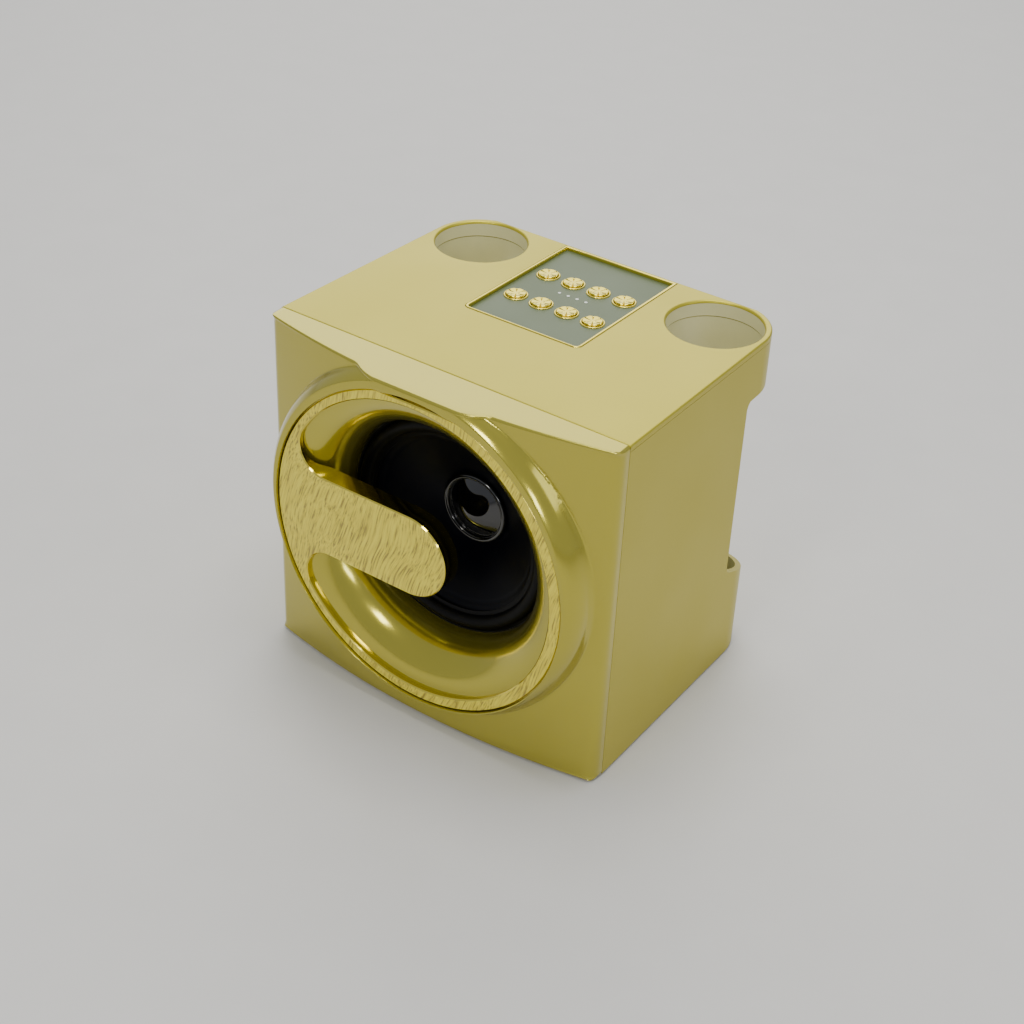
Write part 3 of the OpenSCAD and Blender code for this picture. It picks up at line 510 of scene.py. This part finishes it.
def rows_of_front():
    """The closed section at every ray, as (x, z, forward): seat, face, edge, wall, and back inside."""
    rows = []

    def row(flat, forward):
        rows.append(np.concatenate([flat, np.broadcast_to(forward, angle.shape)[:, None]], -1))

    ledge = 0.45
    row(polar(seat_radius), seat_back_f)
    for part in arc((0, 0), 1, 180, 90, 4):
        row(polar(seat_radius + ledge * (1 + part[0])), face_f - ledge * (1 - part[1]))
    first = polar(seat_radius + ledge)
    for along in np.linspace(0, 1, 91)[1:]:
        flat = first * (1 - along) + inner * along
        flat = raised_to_lip(flat, front_height(flat[:, 0], flat[:, 1]))
        row(flat, front_height(flat[:, 0], flat[:, 1]))
    edge_f = rows[-1][:, 2]
    for turn in np.linspace(0, 1, 9)[1:]:
        now = start_turn + (np.pi / 2 - start_turn) * turn
        out = (np.sin(now) - np.sin(start_turn)) / (1 - np.sin(start_turn))
        down = (np.cos(start_turn) - np.cos(now)) / np.cos(start_turn)
        flat = inner + (outer - inner) * out[:, None]
        forward = edge_f - drop * down
        row(raised_to_lip(flat, forward), forward)
    wall_f = rows[-1][:, 2]
    groove = 0.3
    for t in np.linspace(0, 1, 7)[1:]:
        forward = wall_f + (seam_f + groove - wall_f) * t
        row(raised_to_lip(outer, forward), forward)
    middle = np.array([0, (foot_z + lip_z) / 2])
    shrink = (1 - groove / half_width)
    row(raised_to_lip(middle + (outer - middle) * shrink, np.full(len(angle), seam_f)), seam_f)
    inside = rectangle(half_width - WALL, foot_z + WALL, lip_z - WALL, 0.8)
    row(raised_to_lip(inside, np.full(len(angle), seam_f)), seam_f)
    row(raised_to_lip(inside, wall_f), np.minimum(wall_f, edge_f) - WALL)
    deep_f = seat_back_f - 13
    row(polar(bore_radius + WALL + 0.4), np.minimum(wall_f - WALL, deep_f))
    row(polar(bore_radius), deep_f)
    row(polar(bore_radius), seat_back_f)
    return np.stack(rows, 1)


front_grid = rows_of_front()
front = shell("front_moulding", [grid_part(front_grid, 0, (True, True))], [pearl_gold],
              lambda p: np.stack([p[:, 0], -p[:, 2], p[:, 1]], -1), 40)
finish_piece(front, "casing", "pearl_gold_abs", "front_baffle")

# %% [markdown]
# ## The horn and the driver
# A horn, a cone, a rolled surround and a dust cap are all turned shapes. The Screw modifier could spin them,
# but an explicit grid keeps control of every ring of points. Each profile runs once round the section, so
# each piece is a closed shell with its real thickness.

# %% Turn the horn
HORN_T = 2.4
mouth_f = -horn_low[1]
throat_r = 55.7
flare_r = horn_r - throat_r
throat_f = mouth_f - flare_r
seat_f = throat_f - WALL


def horn_profile():
    """Quarter circle from throat to mouth, a rolled lip, the same quarter circle behind, and a flange."""
    front_arc = arc((horn_r, throat_f), flare_r, 180, 92, 72)
    lip = arc((horn_r - 0.5, mouth_f - 0.55), 0.5, 80, 0, 6)
    skirt = [(horn_r, mouth_f - 10), (horn_r - HORN_T, mouth_f - 10), (horn_r - HORN_T, mouth_f - 3)]
    back_arc = arc((horn_r, throat_f), flare_r - HORN_T, 98, 172, 40)
    flange = [(throat_r + HORN_T, throat_f), (66, throat_f), (66, seat_f), (throat_r + 0.4, seat_f),
              (throat_r, seat_f + 0.4)]
    return np.vstack([front_arc, lip, skirt, back_arc, flange])


horn = turned("horn_shell", horn_profile(), [pearl_gold], (0, 0), 256, facing(horn_z), 40)
finish_piece(horn, "casing", "pearl_gold_abs", "horn")

# %% Turn the driver's moving parts and its surround
cone_low, cone_high = corners("driver_cone")
cap_low, cap_high = corners("dust_cap")
cone_r = cone_high[0]
cone_edge_f = -cone_low[1]
cone_neck_f = -cone_high[1]
coil_r = 13.0
cap_r = cap_high[0]
cap_top_f = -cap_low[1]
flange_f = seat_f - 1.0


def cone_profile(wall=0.8, rings=40):
    """A line from edge to neck that bows forward a little at its middle, with the same line behind it."""
    t = np.linspace(0, 1, rings)
    radius = cone_r - 0.4 + (coil_r + 0.7 - cone_r + 0.4) * t
    forward = cone_edge_f + (cone_neck_f + wall - cone_edge_f) * t + 0.5 * np.sin(np.pi * t)
    groove = 0.25 * np.exp(-((radius - cone_r + 4.5) / 0.35) ** 2)
    face = np.stack([radius, forward - groove], -1)
    return np.vstack([face, face[::-1] - (0, wall * 0.9)])


def surround_profile(wall=0.5, roll=3.5):
    """Half a circle between two flat feet, and a smaller half circle under it."""
    middle = throat_r - 1.7 - roll
    base = flange_f + wall
    outer_foot = [(throat_r - 0.2, base), (middle + roll + 0.2, base + 0.1)]
    over = arc((middle, base), roll, 6, 174, 32)
    inner_foot = [(middle - roll - 0.2, base + 0.1), (middle - roll - 2, base),
                  (middle - roll - 2, base - wall), (middle - roll, base - wall)]
    under = arc((middle, base), roll - wall, 180, 0, 24)
    return np.vstack([outer_foot, over, inner_foot, under, [(middle + roll, base - wall),
                                                            (throat_r - 0.2, base - wall)]])


def cap_profile(wall=0.8):
    """A shallow dome inside a raised lip: a quarter cosine from the middle, then a half circle at the rim."""
    t = np.linspace(0, 1, 26)
    rim = cap_r - 2.6
    dome = np.stack([0.02 + rim * t, cap_top_f - 5.6 * (1 - np.cos(t * np.pi / 2)) ** 0.9], -1)
    base = dome[-1, 1]
    lip = arc((cap_r - 1.3, base + 0.1), 1.3, 180, 0, 14)
    skirt = [(cap_r, base - 0.5), (cap_r - 1.6, base - 0.6)]
    inside = np.stack([dome[::-1, 0], dome[::-1, 1] - wall], -1)
    return np.vstack([dome, lip, skirt, inside])


place_driver = facing(horn_z)
cone = turned("cone_shell", cone_profile(), [cone_black], (0, 0), 192, place_driver, 40)
finish_piece(cone, "cone", "cone_black", "driver_cone")
cap = turned("dust_cap_shell", cap_profile(), [cap_black], (0, 0), 128, place_driver, 50)
finish_piece(cap, "cone", "cap_black", "dust_cap")
surround = turned("surround_roll", surround_profile(), [butyl], (0, 0), 192, place_driver, 50)
finish_piece(surround, "casing", "surround_rubber", "driver_surround")

# %% [markdown]
# ## The trim ring
# The ring is a flat plate with one opening: a circle, a tongue with a round tip, and two hollow corners
# where they meet. Its printed face ends in a bright bevel, and the tongue's sides run back into the horn.
# Extruding a curve would give the plate but not the deeper sides, so the opening's edge is a grid whose
# depth changes along the outline.

# %% Draw the ring's two outlines
APERTURE_R, APERTURE_SHIFT = 75.3, 1.2
TONGUE_HALF, TONGUE_TIP, TONGUE_DROP, ROOT_R = 21.0, 3.0, 1.8, 14.0
RING_T, TONGUE_D, SKIN = 2.6, 10.0, 2.0
BEVEL = 0.55


def window_outline():
    """Tip, straight side, hollow corner, the circle, hollow corner, straight side: all arcs are tangent."""
    reach = APERTURE_R - ROOT_R
    top, bottom = TONGUE_HALF - TONGUE_DROP, -TONGUE_HALF - TONGUE_DROP
    high = (-APERTURE_SHIFT - math.sqrt(reach ** 2 - (top + ROOT_R) ** 2), top + ROOT_R)
    low = (-APERTURE_SHIFT - math.sqrt(reach ** 2 - (bottom - ROOT_R) ** 2), bottom - ROOT_R)
    high_turn = math.degrees(math.atan2(high[1], high[0] + APERTURE_SHIFT))
    low_turn = math.degrees(math.atan2(low[1], low[0] + APERTURE_SHIFT))
    straight = np.linspace(0, 1, 14)[1:-1, None]
    upper = (1 - straight) * (-TONGUE_TIP, top) + straight * (high[0], top)
    lower = (1 - straight) * (low[0], bottom) + straight * (-TONGUE_TIP, bottom)
    return outline(arc((-TONGUE_TIP, -TONGUE_DROP), TONGUE_HALF, -90, 90, 48), upper,
                   arc(high, ROOT_R, 270, high_turn, 30),
                   arc((-APERTURE_SHIFT, 0), APERTURE_R, high_turn, low_turn, 260),
                   arc(low, ROOT_R, low_turn + 360, 90, 30), lower)


def plate_outline():
    """The outer circle, cut flat at the top."""
    flat = ring_high[2] - ring_z
    turn = math.degrees(math.asin(flat / ring_r))
    chord = np.linspace(math.sqrt(ring_r ** 2 - flat ** 2), -math.sqrt(ring_r ** 2 - flat ** 2), 12)
    return outline(np.stack([chord, np.full(12, flat)], -1), arc((0, 0), ring_r, 180 - turn, 360 + turn, 300))


window, plate = window_outline(), plate_outline()
print("ring outlines:", len(window), len(plate))

# %% Build the ring


def ring_parts():
    """Printed face, bright bevels and walls, deeper walls along the tongue, and a back face."""
    back_f = ring_f - RING_T
    rim = carried(plate, np.array([(-BEVEL, ring_f), (0, ring_f - BEVEL), (0, back_f + 0.2), (-0.2, back_f)]))
    skirt = np.clip((window[:, 0] + ring_r * 0.82) / 12, 0, 1)
    skirt = np.where(np.hypot(window[:, 0] + APERTURE_SHIFT, window[:, 1]) > APERTURE_R - 0.01, 0, skirt)
    depth = RING_T + (TONGUE_D - RING_T) * skirt ** 2 * (3 - 2 * skirt)
    offsets = np.array([-BEVEL, 0, 0, -0.3, -SKIN, -SKIN])
    heights = np.stack([np.full_like(depth, ring_f), np.full_like(depth, ring_f - BEVEL),
                        ring_f - depth + 0.3 * (depth > RING_T), ring_f - depth, ring_f - depth,
                        np.full_like(depth, back_f)], 1)
    flat = window[:, None, :] + mitres(window)[:, None, :] * offsets[None, :, None]
    sides = np.concatenate([flat, heights[..., None]], -1)
    return [grid_part(rim, 1), grid_part(sides, 1), fill_part([rim[:, 0], sides[:, 0]], 0),
            fill_part([rim[:, -1], sides[:, -1]], 1)]


ring = shell("trim_ring_plate", ring_parts(), [grain_gold, bright_gold], facing(ring_z), 28, True)
finish_piece(ring, "casing", "grain_print_gold", "trim_ring")

# %% [markdown]
# ## The top cover
# The cover is a flat satin moulding with soft edges, two round wells and a rectangular opening for the
# control panel. Its outline is built from the frame's own corners, with the wells' circles at the back. Fine
# rounds along its lower edge leave the hairline groove that shows where it meets the side walls. The upright
# walls inside the wells get a paler, less metallic copy of the gold: painted light for their pale sheen.

# %% Draw the cover
DRAFT = math.radians(1)
WELL_R, WELL_WALL, WELL_BACK, COLLAR_T = 22.8, 3.3, 2.0, 1.5
MOUTH_ROUND, WELL_LIGHT_REACH = 1.3, 0.9
well_y = back_y - WELL_R - WELL_BACK
corner_r = WELL_R + WELL_WALL
well_x = half_width - (well_y - seam_y) * math.tan(DRAFT) - corner_r
cover_z = cabinet_high[2]
collar_z = top_z - 8.0


def casing_outline():
    """Seam, drafted sides and round rear corners, with the back cut straight between them."""
    cut_turn = math.degrees(math.asin((back_y - well_y) / corner_r))
    right = arc((well_x, well_y), corner_r, math.degrees(DRAFT), cut_turn, 28)
    left = right[::-1] * (-1, 1)
    return outline((half_width, seam_y), right, left, (-half_width, seam_y))


def bezel_outline(spare=0.0):
    """The panel's rectangle, with round corners at its front only."""
    r = 3.0 + spare
    half, front_y, rear_y = bezel_high[0] + spare, bezel_low[1] - spare, bezel_high[1] + spare
    return outline((half, rear_y), (-half, rear_y), arc((-half + r, front_y + r), r, 180, 270, 10),
                   arc((half - r, front_y + r), r, 270, 360, 10))


def cover_parts():
    """Soft outer edge, two well mouths whose collars hang down inside, and the panel's opening."""
    rim = carried(casing_outline(), edge_profile(top_z, cover_z, 0.9, 0.3))
    opening = carried(bezel_outline(0.2)[::-1], edge_profile(top_z, cover_z, 0.2, 0.1, 3))
    mouths = []
    rounded = arc((-MOUTH_ROUND, top_z - MOUTH_ROUND), MOUTH_ROUND, 90, 0, 9)
    mouth = np.vstack([rounded, [(0, collar_z + 0.3), (-0.3, collar_z),
                       (-COLLAR_T, collar_z), (-COLLAR_T, cover_z)]])
    for side in (-1, 1):
        mouths.append(carried(arc((side * well_x, well_y), WELL_R, 360, 0, 129)[:-1], mouth))
    strips = [rim, opening, *mouths]
    return [grid_part(strip) for strip in strips] + [fill_part([strip[:, 0] for strip in strips]),
                                                     fill_part([strip[:, -1] for strip in strips])]


def paint_light_in_wells(piece):
    """Gives the upright walls inside the two wells the paler gold: painted light for their pale sheen."""
    piece.data.materials.append(painted_light_gold)
    corner = np.array([point.co for point in piece.data.vertices]) / MM
    near = np.hypot(np.abs(corner[:, 0]) - well_x, corner[:, 1] - well_y) < WELL_R + WELL_LIGHT_REACH
    for face in piece.data.polygons:
        upright = abs(face.normal.z) < 0.5 and face.center.z / MM < top_z - MOUTH_ROUND
        if upright and near[list(face.vertices)].all():
            face.material_index = 1
    return sum(face.material_index for face in piece.data.polygons)


cover = shell("cover_moulding", cover_parts(), [satin_gold], lying, 30, True)
print("faces inside the well mouths:", paint_light_in_wells(cover))
finish_piece(cover, "casing", "satin_gold_abs", "top_cover")

# %% [markdown]
# ## The control panel
# A bright plated bezel frames a printed plate. It is one section carried round a rectangle: outer wall, a
# crowned rim, an inner wall down to the plate, and the ledge that the plate lies on.

# %% Build the bezel
plate_low, plate_high = corners("control_plate")
rim_top, rim_foot = bezel_high[2], bezel_low[2]
ledge_top = plate_low[2]
RIM = 1.4


def bezel_section():
    """(offset, height) once round: outer wall, crowned rim, inner wall, ledge and underside."""
    crown = arc((-RIM / 2, rim_top - 0.45), 1, 0, 180, 9)
    crown = np.stack([-RIM / 2 + (crown[:, 0] + RIM / 2) * RIM / 2,
                      rim_top - 0.45 + (crown[:, 1] - rim_top + 0.45) * 0.45], -1)
    return np.vstack([[(0, rim_foot)], crown, [(-RIM, ledge_top), (-3, ledge_top), (-3, rim_foot)]])


bezel = shell("bezel_frame", [grid_part(carried(bezel_outline(), bezel_section()), 0, (True, True))],
              [bright_gold], lying, 40)
finish_piece(bezel, "casing", "bright_gold", "control_bezel")

# %% [markdown]
# ### Buttons
# Each cap is a small plated fan: six petals round a shallow dish, with a slot between each pair. A cap is a
# height over (radius, angle), the slots are dips where the cosine of three times the angle is small, and
# a skirt runs down through the plate. A ring of the same plate lies round each cap.

# %% Build the buttons and their rings


def button_grid(low, high):
    """Skirt, shoulder and dish over 96 angles; six slots cut the rim and fade towards the middle."""
    centre = (low[:2] + high[:2]) / 2
    cap = 4.7
    turn = np.linspace(0, 2 * np.pi, 96, endpoint=False)[:, None]
    slot = np.exp(-(np.abs(np.sin(3 * turn)) / 0.16) ** 2)
    petal = np.abs(np.cos(3 * turn + np.pi / 2))
    top = high[2]
    steps = [(0.3, low[2] + 1.4), (cap + 1, low[2] + 1.4), (cap + 1, low[2] + 2.5), (cap, low[2] + 2.5)]
    radius = [np.full_like(turn, r) for r, _ in steps]
    height = [np.full_like(turn, z) for _, z in steps]
    for share_out, lower in ((1.0, 0.9), (1.0, 0.45), (0.985, 0.2), (0.94, 0.05), (0.88, 0.0), (0.8, 0.04),
                             (0.68, 0.18), (0.5, 0.3), (0.3, 0.34), (0.15, 0.26), (0.004, 0.2)):
        fade = np.clip((share_out - 0.2) / 0.4, 0, 1)
        radius.append(cap * share_out - 0.5 * slot * (share_out > 0.85))
        height.append(top - lower - 0.9 * slot * fade - 0.12 * (1 - petal) * np.clip(share_out, 0, 0.6))
    radius, height = np.hstack(radius), np.hstack(height)
    return np.stack([centre[0] + radius * np.cos(turn), centre[1] + radius * np.sin(turn), height], -1)


def button_stem(low):
    """The peg under a button, which rests just above its switch."""
    foot, end = low[2], low[2] + 1.5
    return np.array([(0.02, foot), (1.4, foot), (1.6, foot + 0.2), (1.6, end), (0.02, end)])


ring_points = []
plate_z = plate_high[2]
for number in range(1, 9):
    node = "button_%d" % number
    low, high = corners(node)
    grid = button_grid(low, high)
    stem = button_stem(low)
    turn = np.linspace(0, 2 * np.pi, 24, endpoint=False)[:, None]
    centre = (low[:2] + high[:2]) / 2
    peg = np.stack([centre[0] + stem[None, :, 0] * np.cos(turn), centre[1] + stem[None, :, 0] * np.sin(turn),
                    np.broadcast_to(stem[None, :, 1], (24, len(stem)))], -1)
    caps = [fill_part([part[:, end]]) for part in (grid, peg) for end in (0, -1)]
    key = shell(node + "_cap", [grid_part(grid), grid_part(peg), *caps], [bright_gold], lying, 35)
    finish_piece(key, node, "bright_gold", node)
    torus = arc((5.42, plate_z + 0.12), 0.44, 0, 360, 17)[:-1] * (1, 1)
    torus[:, 1] = np.maximum(torus[:, 1], plate_z)
    around = np.linspace(0, 2 * np.pi, 72, endpoint=False)[:, None]
    ring_points.append(np.stack([centre[0] + torus[None, :, 0] * np.cos(around),
                                 centre[1] + torus[None, :, 0] * np.sin(around),
                                 np.broadcast_to(torus[None, :, 1], (72, len(torus)))], -1))
rings = shell("button_ring_set", [grid_part(grid, 0, (True, True)) for grid in ring_points], [bright_gold],
              lying, 60)
finish_piece(rings, "casing", "bright_gold", "button_rings")

# %% [markdown]
# ## CAD pieces that stay
# The rest of the CAD pieces already have the right shape, so they only get a finish. Those with edges in
# plain sight are copied, welded and given a small bevel, because no moulded edge is perfectly sharp. The
# cabinet and its two well housings are one moulding on the real thing, so a Boolean union joins them first.

# %% Soften the edges of the visible CAD pieces


def united(nodes):
    """One mesh from CAD nodes that meet: copies of them, joined by an exact Boolean union."""
    copies = []
    for node in nodes:
        copies.append(bpy.data.objects.new(node + "_copy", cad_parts[node].data.copy()))
        bpy.context.scene.collection.objects.link(copies[-1])
    for other in copies[1:]:
        union = copies[0].modifiers.new("union", "BOOLEAN")
        union.operation, union.solver, union.object = "UNION", "EXACT", other
    state = bpy.context.evaluated_depsgraph_get()
    mesh = bpy.data.meshes.new_from_object(copies[0].evaluated_get(state))
    for piece in copies:
        bpy.data.objects.remove(piece)
    return mesh


def softened(nodes, body, slot, material, width, angle=35):
    """A welded copy of CAD nodes whose sharp edges get a round of `width` mm."""
    node = nodes[0]
    mesh = united(nodes)
    mesh.name = node + "_soft"
    work = bmesh.new()
    work.from_mesh(mesh)
    bmesh.ops.remove_doubles(work, verts=work.verts, dist=0.002 * MM)
    bmesh.ops.dissolve_limit(work, angle_limit=math.radians(0.4), verts=work.verts, edges=work.edges)
    work.to_mesh(mesh)
    work.free()
    mesh.materials.clear()
    mesh.materials.append(material)
    mesh.polygons.foreach_set("material_index", [0] * len(mesh.polygons))
    if "custom_normal" in mesh.attributes:
        mesh.attributes.remove(mesh.attributes["custom_normal"])
    smooth(mesh, angle)
    piece = bpy.data.objects.new(node + "_soft", mesh)
    bpy.context.scene.collection.objects.link(piece)
    bevel = piece.modifiers.new("soft edges", "BEVEL")
    bevel.width = width * MM
    bevel.segments = 3
    bevel.limit_method = "ANGLE"
    bevel.angle_limit = math.radians(angle)
    bevel.use_clamp_overlap = True
    piece.modifiers.new("even shading", "WEIGHTED_NORMAL").keep_sharp = True
    return finish_piece(piece, body, slot, *nodes)


cabinet = softened(["cabinet", "well_housings"], "casing", "satin_gold_abs", satin_gold, 0.5)
print("faces inside the wells:", paint_light_in_wells(cabinet))
softened(["socket_panel"], "casing", "satin_gold_abs", satin_gold, 0.25)
softened(["feet"], "casing", "foot_rubber", foot_rubber, 0.3)
softened(["switch_knob"], "power_knob", "black_abs", black_abs, 0.12)

# %% Finish the CAD pieces that stay
KEPT = {
    "driver_gasket": foam, "driver_basket": basket_paint, "voice_coil": copper, "spider": spider_cloth,
    "magnet_top_plate": zinc, "magnet": ferrite, "magnet_back_plate": zinc, "driver_terminal": tag_board,
    "driver_screws": zinc, "control_plate": sage_print, "lamp_lenses": white_lens,
    "control_board": solder_mask, "button_switches": black_abs, "control_board_screws": zinc,
    "panel_screws": zinc, "main_board": solder_mask, "main_board_screws": zinc, "usb_a_socket": zinc,
    "usb_c_socket": zinc, "audio_socket": black_abs, "power_switch": zinc, "charge_lamp": red_lens,
    "battery_holder": black_abs, "battery_cell": shrink_wrap, "ribbon_cable": grey_vinyl,
    "speaker_lead": red_vinyl, "well_pads": foam, "baffle_screws": zinc,
}
for node, material in KEPT.items():
    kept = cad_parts[node]
    kept.data.materials.clear()
    kept.data.materials.append(material)
print("kept CAD nodes:", len(KEPT))

# %% [markdown]
# ## Floor and light
# The stage is a pale floor that runs out of sight. Two large soft lights, overhead and behind on the left,
# give the top its broad sheen. A weaker one on the right lights the side wall. Two small ones in front make
# the highlights in the horn and on the collar, and a pale world fills the shadows.

# %% Light the stage


def pale_floor():
    """A wide flat sheet under the feet."""
    size = 6.0
    mesh = bpy.data.meshes.new("floor")
    corner = [(-size, -size, 0), (size, -size, 0), (size, size, 0), (-size, size, 0)]
    mesh.from_pydata(corner, [], [(0, 1, 2, 3)])
    floor = bpy.data.objects.new("floor", mesh)
    bpy.context.scene.collection.objects.link(floor)
    mesh.materials.append(plain_finish("floor_paint", "#D8D6D2", "#D3D1CD", 30.0, (0.5, 0.6), 0.0))


def soft_light(name, place, target, size, power, colour):
    """A square area light that points from its place at a target, both in metres."""
    light = bpy.data.lights.new(name, "AREA")
    light.shape = "RECTANGLE"
    light.size, light.size_y = size
    light.energy = power
    light.color = linear(colour)[:3]
    lamp = bpy.data.objects.new(name, light)
    bpy.context.scene.collection.objects.link(lamp)
    lamp.location = place
    lamp.rotation_euler = (Vector(target) - Vector(place)).to_track_quat("-Z", "Y").to_euler()


def pale_world():
    """An even pale surround, a little cooler than the lights."""
    world = bpy.data.worlds.new("studio")
    bpy.context.scene.world = world
    world.use_nodes = True
    surround_light = world.node_tree.nodes["Background"]
    surround_light.inputs["Color"].default_value = linear("#E8ECF4")
    surround_light.inputs["Strength"].default_value = 0.6


pale_floor()
middle = (0, 0, 0.09)
soft_light("overhead", (0.0, 0.1, 1.6), middle, (0.9, 0.7), 14, "#FFFDF8")
soft_light("back_left", (-0.85, 1.2, 1.0), middle, (1.6, 1.2), 13, "#FFFDF6")
soft_light("right", (1.2, 0.1, 0.95), middle, (0.5, 0.6), 1.8, "#FFFFFF")
soft_light("front", (0.12, -0.95, 0.90), middle, (0.22, 0.22), 2.6, "#FFFDF6")
soft_light("front_right", (0.72, -0.86, 0.50), middle, (0.14, 0.24), 1.2, "#FFFFFF")
pale_world()
print("lights:", len(bpy.data.lights))
